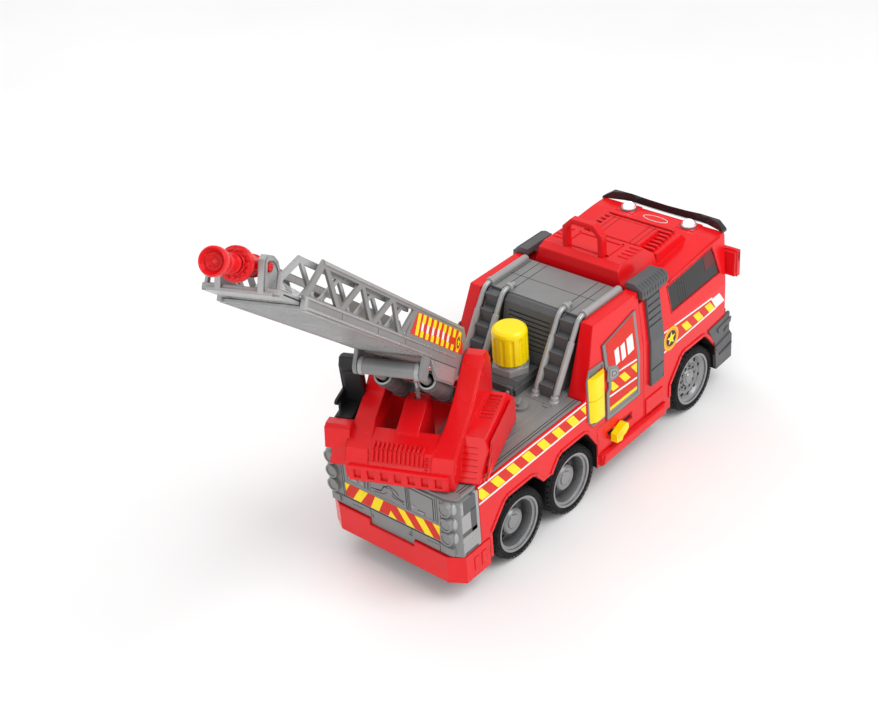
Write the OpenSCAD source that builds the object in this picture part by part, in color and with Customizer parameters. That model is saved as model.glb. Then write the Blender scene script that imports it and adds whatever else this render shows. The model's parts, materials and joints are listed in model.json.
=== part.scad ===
// Toy fire engine with a rotating turret, a raising and extending ladder and a push-knob water pump.
// Millimetres. Origin on the ground under the middle of the truck, +X to the cab, +Y to the left, +Z up.

/* [Body] */
// Half width over the side panels
side_y = 71.5; // [70:0.5:73]
// Thickness of the moulded shells
shell = 2.4; // [1.8:0.1:2.8]
// Height of the rear deck above the ground
deck_z = 103.5; // [102:0.5:104]
// Lower edge of the side panels
sill_z = 25.5; // [24:0.5:30]
// Height of the flat top between the stairs and the cab
platform_z = 164; // [160:0.5:166]

/* [Wheels] */
// Outer radius of a tyre
tyre_r = 32; // [30:0.5:33]
// Width of a tyre
tyre_w = 22; // [16:0.5:23]
// Radius of the bright rim edge
rim_r = 25; // [22:0.5:26]
// Radius of an axle rod
axle_r = 2; // [1.5:0.1:2.5]
// Radial clearance of an axle in its bearing
axle_gap = 0.06; // [0.03:0.01:0.1]

/* [Turret] */
// Distance of the turret's vertical axis behind the middle
turret_back = 166; // [164:0.5:168]
// Turn of the ladder from straight ahead
turret_turn = 202.8; // [190:0.1:215]

/* [Ladder] */
// Elevation of the ladder
lift = 38.6; // [30:0.1:45]
// Half width of the outer ladder
ladder_w = 28; // [27.6:0.1:28.2]
// Length of the outer ladder in front of its hinge
ladder_l = 356; // [340:1:360]
// Depth of the ladder's side trusses
truss_h = 30; // [26:0.5:32]

/* [Pump] */
// Radius of the pump knob
knob_r = 15.5; // [14:0.5:16]
// Travel of the pump knob, from pressed to released
pump_travel = 12; // [6:1:12]

/* [Hidden] */
$fn = 48;

red = "#e01b22";
light_grey = "#9a9c9c";
dark_grey = "#4c4e50";
black = "#1c1d1e";
yellow = "#ffe000";
silver = "#c3c5c6";

// Axle positions along the truck and the hub height
axle_x = [131.3, -57.9, -130];
hub_z = tyre_r;
ring_y = side_y - 2.7;

// The side walls are upright up to the waist and lean inwards above it
waist_z = 112;
eaves_z = 158;
eaves_y = side_y - 5.5;
function wall_y(z) = z < waist_z ? side_y : side_y - (z - waist_z) * (side_y - eaves_y) / (eaves_z - waist_z);

// Lengthwise stations
rear_x = -181;
split_x = 47;
cab_x = 184;
pump_x = -47;
filler_x = -75;
filler_y = -30;

// Ladder hinge and lifting cylinder pivots, seen from the side in the turret's own frame
hinge_u = -43;
hinge_z = 157;
foot_u = -20;
foot_z = 145;
bar_a = 103.3;
bar_h = -15;
bar_u = hinge_u + bar_a * cos(lift) - bar_h * sin(lift);
bar_z = hinge_z + bar_a * sin(lift) + bar_h * cos(lift);
cylinder_angle = atan2(bar_z - foot_z, bar_u - foot_u);
cylinder_v = 18;
hose_u = -4;
pin_gap = 0.06;
turret_z = deck_z + 1.5;

// Screws under the pan
screw_xy = [[-184, -30], [-184, 30], [-94, 0], [62, 0], [158, -30], [158, 30]];

// ---- Shared shapes -------------------------------------------------------------------------------

// Extrudes an (x, z) outline from y0 to y1
module along_y(y0, y1) {
    translate([0, y1, 0]) rotate([90, 0, 0]) linear_extrude(y1 - y0) children();
}

// Extrudes a (y, z) outline from x0 to x1
module along_x(x0, x1) {
    translate([x0, 0, 0]) rotate([90, 0, 90]) linear_extrude(x1 - x0) children();
}

// Box between two corners
module block(a, b) {
    translate(a) cube(b - a);
}

module both_sides() {
    children();
    mirror([0, 1, 0]) children();
}

// Rod along y
module y_rod(x, z, r, y0, y1) {
    translate([x, y1, z]) rotate([90, 0, 0]) cylinder(r = r, h = y1 - y0);
}

// Straight round bar between two points
module rod(a, b, r) {
    d = b - a;
    translate(a)
        rotate([0, acos(d.z / norm(d)), atan2(d.y, d.x)])
            cylinder(r = r, h = norm(d));
}

// Flat bar between two points of an outline
module bar_2d(p, q, w) {
    d = q - p;
    translate(p) rotate(atan2(d.y, d.x)) translate([-w / 4, -w / 2]) square([norm(d) + w / 2, w]);
}

// Places a child in the turret's frame, with x forward along the ladder
module on_turret() {
    translate([-turret_back, 0, 0]) rotate([0, 0, turret_turn]) children();
}

// Places a child in the ladder's frame, with the origin on the hinge
module on_ladder() {
    on_turret() translate([hinge_u, 0, hinge_z]) rotate([0, -lift, 0]) children();
}

// ---- Truck: shells --------------------------------------------------------------------------------

// Outline of one wheel arch, open at the bottom
module arch_2d(x, half, top, shoulder) {
    polygon([[x - half, 0], [x - half, 50], [x - shoulder, top - 2], [x - shoulder + 4, top],
             [x + shoulder - 4, top], [x + shoulder, top - 2], [x + half, 50], [x + half, 0]]);
}

module arches_2d() {
    arch_2d(axle_x[2], 37.5, 72, 20);
    arch_2d(axle_x[1], 33.5, 72, 20);
    translate([-101, 0]) square([14, 58]);
    arch_2d(axle_x[0] - 4, 38, 73, 20);
}

// Cross-section of the truck's sides, as a (y, z) outline, shrunk by t
module section_2d(z0, z1, t) {
    polygon([[-side_y + t, z0], [-side_y + t, waist_z], [-wall_y(z1) + t, z1],
             [wall_y(z1) - t, z1], [side_y - t, waist_z], [side_y - t, z0]]);
}

// Side locker above the deck, beside the stairs, as an (x, z) outline
module locker_2d(t) {
    polygon([[-40 + t * 1.2, deck_z - 4 + t], [-18 + t * 1.2, platform_z + 1 - t],
             [split_x - t, platform_z + 1 - t], [split_x - t, deck_z - 4 + t]]);
}

module locker(t) {
    intersection() {
        along_y(-80, 80) locker_2d(t);
        along_x(-60, split_x + 1) section_2d(deck_z - 6, platform_z + 6, t);
        union() {
            block([-60, 53.5 + t, 90], [split_x + 1, 80, 180]);
            block([-60, -80, 90], [split_x + 1, -53.5 - t, 180]);
        }
    }
}

module body_shell() {
    rear_wall_x = rear_x;
    color(red) {
        difference() {
            along_y(-side_y, side_y)
                difference() {
                    polygon([[rear_wall_x, 47.5], [rear_wall_x, deck_z], [split_x, deck_z], [split_x, sill_z],
                             [-171, sill_z], [-171, 47.5]]);
                    arches_2d();
                }
            block([rear_wall_x + shell, -side_y + shell, 0], [split_x - shell, side_y - shell, 120]);
            block([rear_wall_x - 1, -side_y + shell, deck_z - 2.6], [0, side_y - shell, 120]);
            // Slot of the sliding lever
            block([-8, -side_y - 1, 49.5], [27, -side_y + shell + 1, 54.5]);
            // Passages for the hose and the wiring
            block([split_x - 5, -30, sill_z - 1], [split_x + 1, 30, 95]);
            // Way for the pan's floor
            block([split_x - 5, -46, sill_z - 1], [split_x + 1, 46, 90]);
            block([rear_wall_x - 1, -46, 30], [rear_wall_x + 5, 46, 102]);
        }
        // Ledges that carry the deck
        both_sides() block([rear_wall_x, side_y - 14, deck_z - 4.5], [-36, side_y - shell + 0.2, deck_z - 2.5]);
        // Side lockers, open at the bottom
        difference() {
            locker(0);
            locker(shell);
            block([-30, -69, deck_z - 10], [split_x - shell, 69, deck_z - 1]);
        }
        // Stepped sill between the arches
        both_sides() {
            block([-20, side_y - 0.1, sill_z + 0.5], [split_x, side_y + 2.5, 37.5]);
            block([split_x - 1, side_y + 0.05, sill_z + 0.5], [79, side_y + 2.5, 37.5]);
        }
    }
}

// Plan of the cab with its bowed front, as an (x, y) outline shrunk by t
module cab_plan_2d(t) {
    polygon([[split_x + t, -90], [cab_x - 4 - t, -90], [cab_x - 4 - t, -side_y + t], [cab_x + 1 - t, -66 + t],
             [cab_x + 7 - t, -45], [cab_x + 10 - t, -20], [cab_x + 11 - t, 0], [cab_x + 10 - t, 20],
             [cab_x + 7 - t, 45], [cab_x + 1 - t, 66 - t], [cab_x - 4 - t, side_y - t], [cab_x - 4 - t, 90],
             [split_x + t, 90]]);
}

// Side view of the cab, as an (x, z) outline shrunk by t
module cab_side_2d(t) {
    polygon([[split_x, 0], [split_x, 154 - t], [95, 154.5 - t], [167, 161.5 - t], [184 - t, 161.5 - t],
             [202 - t, 114], [206 - t, 80], [206 - t, 0]]);
}

module cab_solid(t) {
    intersection() {
        linear_extrude(200) cab_plan_2d(t);
        along_y(-90, 90) cab_side_2d(t);
        along_x(0, 220) section_2d(0, 170, t);
    }
}

module window_2d() {
    polygon([[93, 124], [90, 150], [163, 155.5], [172, 126.5]]);
}

module cab_shell() {
    color(red) {
        difference() {
            cab_solid(0);
            difference() {
                cab_solid(shell);
                block([0, -90, 150], [60, 90, 200]);
            }
            block([0, -100, -1], [220, 100, sill_z]);
            // Arches and the opening for the bumper
            along_y(-100, 100) arches_2d();
            block([split_x - 1, -46, 0], [split_x + 5, 46, 90]);
            // Side windows and windscreen
            along_y(-100, 100) window_2d();
            intersection() {
                block([172, -60, 116], [230, 60, 156]);
                along_x(150, 230) polygon([[-60, 116], [-56, 156], [56, 156], [60, 116]]);
            }
            block([130, -100, 0], [230, 100, 42]);
        }
        // Raised roof blocks behind the lamps
        difference() {
            roof_block([[49, 152], [51, 176], [58, 180], [92, 180], [104, 170], [108, 152]], 47, 41);
            roof_block([[52, 150], [54, 174], [60, 177.6], [91, 177.6], [101, 168.5], [105, 150]], 44.6, 38.6);
        }
        roof_block([[104, 158], [106, 172], [137, 173], [143, 160]], 28, 25);
        roof_block([[108, 153], [110, 166], [150, 168], [158, 158]], 44, 41);
    }
}

// Block on the roof with sides that lean in from half width w0 to w1
module roof_block(outline, w0, w1) {
    intersection() {
        along_y(-w0, w0) polygon(outline);
        along_x(0, 220) polygon([[-w0, 140], [-w0, 155], [-w1, 182], [w1, 182], [w0, 155], [w0, 140]]);
    }
}

// Dark glazing moulding: one part that fills the side windows and the windscreen from inside
module cab_glazing() {
    color(black)
        difference() {
            intersection() {
                cab_solid(shell + 0.05);
                block([88, -90, 113], [230, 90, 157.5]);
            }
            cab_solid(shell + 2);
            block([80, -60, 100], [170, 60, 200]);
            block([80, -56, 100], [176, 56, 200]);
        }
    color(black)
        difference() {
            intersection() {
                cab_solid(0.6);
                along_y(-100, 100) offset_window_2d();
            }
            cab_solid(shell + 0.1);
        }
}

// Window panes stand in their openings with a hairline gap
module offset_window_2d() {
    polygon([[93.4, 124.4], [90.6, 149.7], [162.6, 155], [171.4, 126.9]]);
}

module sun_visor() {
    color(dark_grey)
        intersection() {
            difference() {
                linear_extrude(200) cab_plan_2d(-2.5);
                translate([0, 0, -1]) linear_extrude(202) cab_plan_2d(2);
            }
            block([177, -68, 0], [220, 68, 200]);
            along_y(-90, 90) polygon([[176, 161.6], [178, 170], [188, 172], [199, 160], [199, 154], [190, 161.6]]);
            along_x(150, 220) polygon([[-68, 150], [-66, 164], [-58, 169], [0, 172], [58, 169], [66, 164],
                                       [68, 150]]);
        }
}

module roof_lamp(side) {
    color("#dfeaf5")
        translate([177, side * 33, 161.7])
            intersection() {
                cylinder(r = 7, h = 6);
                translate([0, 0, -6]) sphere(r = 11.5);
            }
}

module mirror_piece(side) {
    color(red)
        scale_side(side)
            difference() {
                union() {
                    block([187, 60, 118], [192, 79, 144]);
                    block([184, 58, 121], [188, 66, 125]);
                    block([184, 58, 137], [188, 66, 141]);
                    block([184, 66, 119], [187.5, 78, 143]);
                }
                cab_solid(-0.1);
            }
}

// Mirrors a left-hand child to the right when side is -1
module scale_side(side) {
    if (side > 0) children();
    else mirror([0, 1, 0]) children();
}

module front_bumper() {
    color(dark_grey)
        difference() {
            intersection() {
                union() {
                    linear_extrude(200) bumper_plan_2d(0, 201);
                    linear_extrude(52) bumper_plan_2d(0, 206);
                }
                along_y(-90, 90)
                    polygon([[165.5, 26], [199, 27], [206.5, 36], [210, 48], [203, 52], [201, 72], [187, 78.5],
                             [151, 75], [163, 54]]);
            }
            difference() {
                block([140, -side_y + 1.8, 20], [195, side_y - 1.8, 90]);
                block([190, -90, 42], [230, 90, 50]);
            }
            cab_keepout();
        }
}

// Bumper plan that ends at the given nose station
module bumper_plan_2d(t, nose) {
    polygon([[140, -side_y - 1.3], [nose - 14, -side_y - 1.3], [nose - 3, -60], [nose + 1, -40], [nose + 4, 0],
             [nose + 1, 40], [nose - 3, 60], [nose - 14, side_y + 1.3], [140, side_y + 1.3]]);
}

// Space held by the cab above the bumper
module cab_keepout() {
    difference() {
        cab_solid(-0.2);
        block([100, -100, -10], [230, 100, 41.9]);
    }
}

module headlamps() {
    color(silver)
        both_sides()
            translate([cab_x + 9.2, 44, 90]) rotate([0, 90, 8]) cylinder(r = 9, h = 4);
}

module stack(side) {
    color(dark_grey)
        scale_side(side)
            difference() {
                union() {
                    along_x(55, 75) stack_section_2d(2.6);
                    along_x(48, 84) stack_cap_2d();
                }
                // Grooves across the stack
                for (z = [84, 128, 134.5, 141, 147.5, 154])
                    block([54, wall_y(z) + 1.8, z], [76, wall_y(z) + 6, z + 1.2]);
            }
}

// The stack follows the side wall, standing proud of it by d
module stack_section_2d(d) {
    polygon([[side_y + 0.1, 68], [side_y + d, 68], [side_y + d, waist_z], [wall_y(165) + d, 165],
             [wall_y(165) - 8, 168], [wall_y(165) - 8, 165.4], [wall_y(165) + 0.1, 165.1],
             [side_y + 0.1, waist_z]]);
}

module stack_cap_2d() {
    polygon([[wall_y(158) + 0.1, 158], [wall_y(158) + 4, 158], [wall_y(165) + 4.5, 166], [wall_y(165) - 4, 171],
             [wall_y(165) - 12, 171], [wall_y(165) - 12, 165.4], [wall_y(165) + 0.1, 165.1]]);
}

// ---- Truck: panels on the sides -------------------------------------------------------------------

module door_panel(side) {
    color(light_grey)
        scale_side(side)
            difference() {
                intersection() {
                    along_x(-10, 39)
                        polygon([[side_y + 0.1, 68.5], [side_y + 1.6, 68.5], [side_y + 1.6, waist_z],
                                 [wall_y(152) + 1.6, 152], [wall_y(152) + 0.1, 152], [side_y + 0.1, waist_z]]);
                    along_y(0, 90)
                        polygon([[-10, 68.5], [39, 68.5], [39, 152], [-10, 142], [-10, 122], [-7, 116], [-7, 100],
                                 [-10, 96]]);
                }
                along_y(side_y + 0.9, 90) polygon([[-6.5, 72], [35.5, 72], [35.5, waist_z - 2], [-3.5, waist_z - 2],
                                                   [-3.5, 99], [-6.5, 95]]);
            }
}

module canister_set(side) {
    color(yellow)
        scale_side(side)
            for (z = [79.4, 101.6])
                intersection() {
                    block([-35.5, side_y + 0.1, z], [-13.5, side_y + 5, z + 21.6]);
                    translate([-24.5, side_y - 8, z - 1]) cylinder(r = 14, h = 24);
                }
}

// ---- Truck: rear ----------------------------------------------------------------------------------

module deck_plate() {
    color(light_grey)
        difference() {
            union() {
                translate([0, 0, deck_z - 2.4])
                    linear_extrude(2.4)
                        polygon([[-41, -68.9], [-202.4, -68.9], [-206.3, -60.6], [-206.3, 60.6], [-202.4, 68.9],
                                 [-41, 68.9]]);
                block([-41.2, -53, deck_z - 2.4], [split_x - shell - 0.3, 53, deck_z]);
                for (y = [-52, -44, 44, 52])
                    block([-196, y - 0.8, deck_z - 0.1], [-62, y + 0.8, deck_z + 0.6]);
            }
            // Turret neck and pump well
            translate([-turret_back, 0, 80]) cylinder(r = 22.06, h = 40);
            translate([pump_x, 0, 80]) cylinder(r = 12.4, h = 40);
            translate([filler_x, filler_y, 80]) cylinder(r = 6.1, h = 40);
        }
}

module rear_panel() {
    color(light_grey)
        difference() {
            union() {
                linear_extrude(200)
                    polygon([[-203, -side_y + 0.2], [-208, -61], [-208, 61], [-203, side_y - 0.2],
                             [-190, side_y - 0.2], [-190, side_y - 4], [-200.5, side_y - 4], [-205, 58],
                             [-205, -58], [-200.5, -side_y + 4], [-190, -side_y + 4], [-190, -side_y + 0.2]]);
            }
            block([-220, -90, 0], [-150, 90, 41]);
            block([-220, -90, deck_z - 2.8], [-150, 90, 210]);
            block([-220, 24, 0], [-150, 90, 47.5]);
            block([-220, -90, 0], [-150, -24, 47.5]);
            // Dark slots between the three side steps
            both_sides() for (z = [62, 80]) block([-199, side_y - 2.2, z], [-189, side_y + 1, z + 3]);
        }
    color(light_grey)
        both_sides() {
            for (z = [95, 80.5, 66.7])
                translate([-206.5, 61.5, z]) rotate([0, -90, 0]) rear_lamp();
            block([-209.5, 57, 50], [-206, 66, 57]);
        }
}

module rear_lamp() {
    difference() {
        cylinder(r = 6.2, h = 5.2);
        translate([0, 0, 4.6]) cylinder(r = 4.6, h = 2);
    }
}

module rear_bumper() {
    outline = [[-172, -72], [-202, -72], [-210, -59], [-210, 59], [-202, 72], [-172, 72]];
    color(red)
        difference() {
            translate([0, 0, 20.5]) linear_extrude(26.1) polygon(outline);
            block([-206, -56, 19], [-170, 56, 44]);
            block([-201, -68, 19], [-170, 68, 44]);
            block([-215, -24.2, 40.8], [-170, 24.2, 50]);
            block([-205.6, -56, 19], [-170, 56, 50]);
        }
}

module stair_tower() {
    tread_y = [33, 47];
    color(dark_grey) {
        // Two flights of steps
        both_sides()
            for (i = [0 : 4])
                block([-52 + 7.9 * i, tread_y[0], deck_z + 0.2], [30, tread_y[1], deck_z + 11.2 + 11.8 * i]);
        // Middle box with its raked louvred face
        difference() {
            along_y(-27.4, 27.4)
                polygon([[-32, deck_z + 0.2], [-24, deck_z + 30], [-18, platform_z - 4], [-14, platform_z],
                         [split_x - shell - 0.4, platform_z], [split_x - shell - 0.4, deck_z + 0.2]]);
            along_y(-25, 25)
                polygon([[-29, deck_z - 1], [-21.5, deck_z + 30], [-15.5, platform_z - 4], [-12, platform_z - 2.5],
                         [split_x - 6, platform_z - 2.5], [split_x - 6, deck_z - 1]]);
            for (i = [0 : 7])
                translate([0, 0, 124 + i * 4]) block([-40, -22, 0], [-10, 22, 1.4]);
        }
        // Flat top over the stairs
        block([-11, -53.2, platform_z - 3], [split_x - shell - 0.4, 53.2, platform_z]);
        both_sides() block([-8, 27.3, deck_z + 0.2], [split_x - shell - 0.4, 33.1, platform_z - 2]);
    }
}

// Round tube along a route in the x-z plane, as a mesh
module tube_along(route, r, sides) {
    last = len(route) - 1;
    points = [for (i = [0 : last], k = [0 : sides - 1])
        let (d = route[min(i + 1, last)] - route[max(i - 1, 0)], t = d / norm(d), b = 360 * k / sides)
        [route[i].x - t.y * r * cos(b), r * sin(b), route[i].y + t.x * r * cos(b)]];
    walls = [for (i = [0 : last - 1], k = [0 : sides - 1])
        let (n = (k + 1) % sides)
        [i * sides + n, (i + 1) * sides + n, (i + 1) * sides + k, i * sides + k]];
    polyhedron(points, concat(walls, [[for (k = [sides - 1 : -1 : 0]) k],
                                      [for (k = [0 : sides - 1]) last * sides + k]]));
}

// Points of an arc in the x-z plane
function arc_points(centre, r, from, to, steps) =
    [for (i = [0 : steps]) let (a = from + (to - from) * i / steps) centre + r * [cos(a), sin(a)]];

// Bent handrail tube: up the flight, then level along the top
module handrail(y, reach) {
    slope = 59;
    bend = 11;
    top = platform_z + 2.9;
    centre = [-10, top - bend];
    from = centre + bend * [cos(90 + slope), sin(90 + slope)];
    drop = from.y - deck_z - 0.3;
    foot = [from.x - drop / tan(slope), deck_z + 0.3];
    translate([0, y, 0])
        tube_along(concat([foot, foot + [0, 1.2]], arc_points(centre, bend, 90 + slope, 90, 6),
                          [[reach, top]]), 2.3, 16);
}

module handrails(side) {
    color(silver)
        scale_side(side) {
            handrail(50.1, 42);
            handrail(30.2, -1);
        }
}

module ladder_rest() {
    color(red)
        along_x(58, 65)
            difference() {
                polygon([[-21, 180.1], [-21, 200], [-12, 209], [12, 209], [21, 200], [21, 180.1]]);
                polygon([[-16.5, 170], [-16.5, 198], [-10, 204.5], [10, 204.5], [16.5, 198], [16.5, 170]]);
            }
}

// ---- Truck: pump and tank --------------------------------------------------------------------------

module pump_housing() {
    color(dark_grey)
        difference() {
            union() {
                along_y(-19, 19)
                    polygon([[-66, deck_z + 0.1], [-66, 112], [-62, 116.4], [-33.5, 116.4], [-33.5, deck_z + 0.1]]);
                block([-68, -16, deck_z + 0.1], [-65.5, -10, 110]);
                block([-68, 10, deck_z + 0.1], [-65.5, 16, 110]);
            }
            translate([pump_x, 0, 100]) cylinder(r = 12.3, h = 30);
        }
}

module pump_collar() {
    color(silver)
        difference() {
            union() {
                translate([pump_x, 0, 116.5]) rotate(34) cylinder(r = 17.8, h = 6, $fn = 6);
                translate([pump_x, 0, 122.4]) cylinder(r = 14.2, h = 2);
            }
            translate([pump_x, 0, 110]) cylinder(r = 12.3, h = 30);
        }
}

module pump_cylinder() {
    color("white")
        difference() {
            union() {
                translate([pump_x, 0, 66]) cylinder(r = 10, h = 41);
                translate([pump_x, 0, 66]) cylinder(r = 13, h = 2);
                translate([pump_x - 16, 0, 70]) rotate([0, 90, 0]) cylinder(r = 2.6, h = 8);
            }
            translate([pump_x, 0, 68]) cylinder(r = 8, h = 60);
            translate([pump_x - 17, 0, 70]) rotate([0, 90, 0]) cylinder(r = 1.4, h = 12);
        }
}

// Knob with finger flutes and a skirt that guides it in the collar
module pump_knob() {
    low_z = 125.2;
    top_z = 157.5;
    color(yellow)
        difference() {
            union() {
                translate([pump_x, 0, low_z])
                    rotate_extrude()
                        polygon([[0, 0], [knob_r - 1, 0], [knob_r, 1], [knob_r, top_z - low_z - 4],
                                 [knob_r - 0.8, top_z - low_z - 1.8], [knob_r - 3, top_z - low_z],
                                 [0, top_z - low_z]]);
                translate([pump_x, 0, low_z - 17]) cylinder(r = 12, h = 18);
            }
            for (i = [0 : 11])
                translate([pump_x, 0, low_z - 1])
                    rotate(i * 30 + 15) translate([knob_r + 1.2, 0, 0]) cylinder(r = 2.4, h = 27);
            translate([pump_x, 0, 100]) cylinder(r = 7, h = 48);
        }
}

// Rod and head, at the bottom of their stroke
module pump_piston() {
    color("white")
        translate([pump_x, 0, 0]) {
            translate([0, 0, 80]) cylinder(r = 3, h = 68);
            difference() {
                translate([0, 0, 75]) cylinder(r = 7.94, h = 6);
                translate([0, 0, 77]) rotate_extrude() translate([6.9, 0]) square([2, 2]);
            }
        }
}

// Round wire wound into a helix, as a mesh whose points follow the coil
module pump_spring() {
    wire = 0.45;
    coil = 6.4;
    turns = 5;
    pitch = 1.1;
    steps = 20;
    sides = 8;
    low = 68.6;
    count = turns * steps;
    points = [for (i = [0 : count], k = [0 : sides - 1])
        let (a = 360 * i / steps, b = 360 * k / sides)
        [(coil + wire * cos(b)) * cos(a), (coil + wire * cos(b)) * sin(a), low + pitch * i / steps + wire * sin(b)]];
    walls = [for (i = [0 : count - 1], k = [0 : sides - 1])
        let (n = (k + 1) % sides)
        [i * sides + n, (i + 1) * sides + n, (i + 1) * sides + k, i * sides + k]];
    ends = [[for (k = [sides - 1 : -1 : 0]) k], [for (k = [0 : sides - 1]) count * sides + k]];
    color(silver) translate([pump_x, 0, 0]) polyhedron(points, concat(walls, ends));
}

module water_tank() {
    color("#dfe6ea")
        difference() {
            union() {
                block([-135, -38, 60], [-66, 38, 96]);
                translate([filler_x, filler_y, 95]) cylinder(r = 6, h = deck_z - 95 - 0.2);
            }
            block([-133, -36, 62], [-68, 36, 94]);
            translate([filler_x, filler_y, 90]) cylinder(r = 4.6, h = 30);
        }
}

module tank_cap() {
    color(light_grey)
        translate([filler_x, filler_y, 0]) {
            translate([0, 0, deck_z + 0.1]) cylinder(r = 8, h = 2.4);
            translate([0, 0, deck_z + 2.4]) rotate(20) translate([-5, -1.4, 0]) cube([10, 2.8, 3]);
            translate([0, 0, deck_z - 4]) cylinder(r = 4.5, h = 4.2);
        }
}

module feed_hose() {
    color("#e8eef2") {
        rod([pump_x - 16.1, 0, 70], [-65.9, 0, 70], 2);
        rod([-135.1, 0, 70], [-turret_back, 0, 70], 2);
        translate([-turret_back, 0, 70]) sphere(r = 2);
        rod([-turret_back, 0, 70], [-turret_back, 0, 107], 2);
    }
}

// ---- Truck: underside -------------------------------------------------------------------------------

module chassis_pan() {
    color(black)
        difference() {
            union() {
                difference() {
                    block([-196, -44, 18], [172, 44, 90]);
                    block([-194, -42, 20.4], [170, 42, 95]);
                    block([split_x + 5, -60, 84.9], [180, 60, 100]);
                }
                // Roofs of the wheel wells
                both_sides() {
                    block([-174, 43.9, 83], [-22, 68.8, 85]);
                    block([88, 43.9, 83], [158, 68.8, 85]);
                }
                // Bearing blocks
                for (x = axle_x) both_sides() block([x - 7, 38, 20], [x + 7, 44, hub_z + 8]);
                // Turret socket
                translate([-turret_back, 0, 84]) cylinder(r = 30, h = 16.9);
                for (p = screw_xy) translate([p.x, p.y, 18]) cylinder(r = 5, h = 14);
                block([-turret_back - 6, -43, 84], [-turret_back + 6, 43, 92]);
            }
            for (x = axle_x) y_rod(x, hub_z, axle_r + axle_gap, -60, 60);
            translate([-turret_back, 0, 80]) cylinder(r = 22.06, h = 40);
            for (p = screw_xy) {
                translate([p.x, p.y, 17]) cylinder(r = 3.3, h = 5);
                translate([p.x, p.y, 17]) cylinder(r = 1.7, h = 20);
            }
            // Battery opening
            block([-30, -27, 10], [30, 27, 21]);
        }
}

module battery_cover() {
    color(dark_grey)
        difference() {
            union() {
                block([-29.7, -26.7, 18], [29.7, 26.7, 20.3]);
                block([-32, -10, 20.45], [-27, 10, 22]);
                block([-29, -10, 20.2], [-27, 10, 22]);
            }
            translate([25, 0, 10]) cylinder(r = 1.7, h = 20);
        }
}

module batteries() {
    color("#8a8f94")
        for (y = [-16, 0, 16]) {
            translate([-24, y, 29]) rotate([0, 90, 0]) cylinder(r = 7.1, h = 48);
            translate([23.9, y, 29]) rotate([0, 90, 0]) cylinder(r = 2.6, h = 1.6);
        }
}

module circuit_board() {
    color("#1f6b3a")
        difference() {
            union() {
                block([70, -30, 56], [130, 30, 57.6]);
                block([85, -10, 57.5], [97, 6, 60]);
                block([106, -18, 57.5], [114, -6, 62]);
            }
            for (x = [74, 126], y = [-26, 26]) translate([x, y, 50]) cylinder(r = 1.5, h = 10);
        }
}

module speaker() {
    color(dark_grey)
        translate([144, 0, 0]) {
            translate([0, 0, 20.5]) cylinder(r = 14, h = 3);
            translate([0, 0, 23.4]) cylinder(r = 9, h = 5);
        }
}

module screws() {
    color(silver)
        for (p = screw_xy)
            translate([p.x, p.y, 20]) {
                difference() {
                    cylinder(r = 3, h = 1.9);
                    translate([-2, -0.4, -0.1]) cube([4, 0.8, 0.8]);
                    translate([-0.4, -2, -0.1]) cube([0.8, 4, 0.8]);
                }
                translate([0, 0, 1.8]) cylinder(r = 1.6, h = 12);
            }
}

module side_lever() {
    color(yellow) {
        along_y(-side_y - 7.5, -side_y - 1)
            polygon([[-5, 52], [-5, 44], [3, 42.5], [5, 46], [9, 47], [13, 50], [13, 55], [9, 57.5], [3, 55]]);
        block([1, -side_y - 1.1, 50.1], [9, -side_y + shell + 2.4, 53.9]);
        block([-2, -side_y + shell + 0.4, 46.5], [12, -side_y + shell + 2.4, 57.5]);
    }
}

// ---- Wheels -----------------------------------------------------------------------------------------

module axle_rod(i) {
    color(silver) y_rod(axle_x[i], hub_z, axle_r, -ring_y + 8, ring_y - 8);
}

// Outline of a tyre's section, as (radius, distance in from the outer face)
module tyre_pair(i) {
    shoulder = tyre_r - 4;
    color(black)
        both_sides()
            translate([axle_x[i], ring_y + 0.5, hub_z])
                rotate([90, 0, 0])
                    difference() {
                        rotate_extrude($fn = 96)
                            polygon([[rim_r + 0.6, 0.5], [shoulder + 1, 0], [tyre_r - 1, 2.5], [tyre_r, 4.5],
                                     [tyre_r, tyre_w - 4.5], [tyre_r - 1, tyre_w - 2.5],
                                     [shoulder + 1, tyre_w], [22, tyre_w], [22, 3.5], [rim_r + 0.6, 3]]);
                        for (k = [0 : 35])
                            rotate(k * 10) translate([tyre_r - 1.3, -0.9, -1]) cube([3, 1.8, 5.2]);
                    }
}

module rim_pair(i, front) {
    color(light_grey)
        both_sides()
            translate([axle_x[i], ring_y, hub_z])
                rotate([90, 0, 0])
                    if (front) front_rim();
                    else rear_rim();
}

// Deep dish with a raised hub
module rear_rim() {
    difference() {
        rotate_extrude($fn = 96)
            polygon([[0, 6], [6, 6], [6.5, 7], [9, 7], [10.5, 6], [12, 7.5], [12, 12], [19.5, 13], [21, 3],
                     [23, 2], [23, 0.4], [rim_r, 0], [rim_r + 0.5, 0.6], [rim_r + 0.5, 2.4], [21.9, 2.9],
                     [21.9, 20], [20, 20], [20, 15], [5, 15], [5, 20], [0, 20]]);
        translate([0, 0, 7.9]) cylinder(r = axle_r, h = 20);
        for (k = [0 : 5]) rotate(k * 60) translate([15.8, 0, 10]) cylinder(r = 2, h = 10);
    }
}

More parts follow.
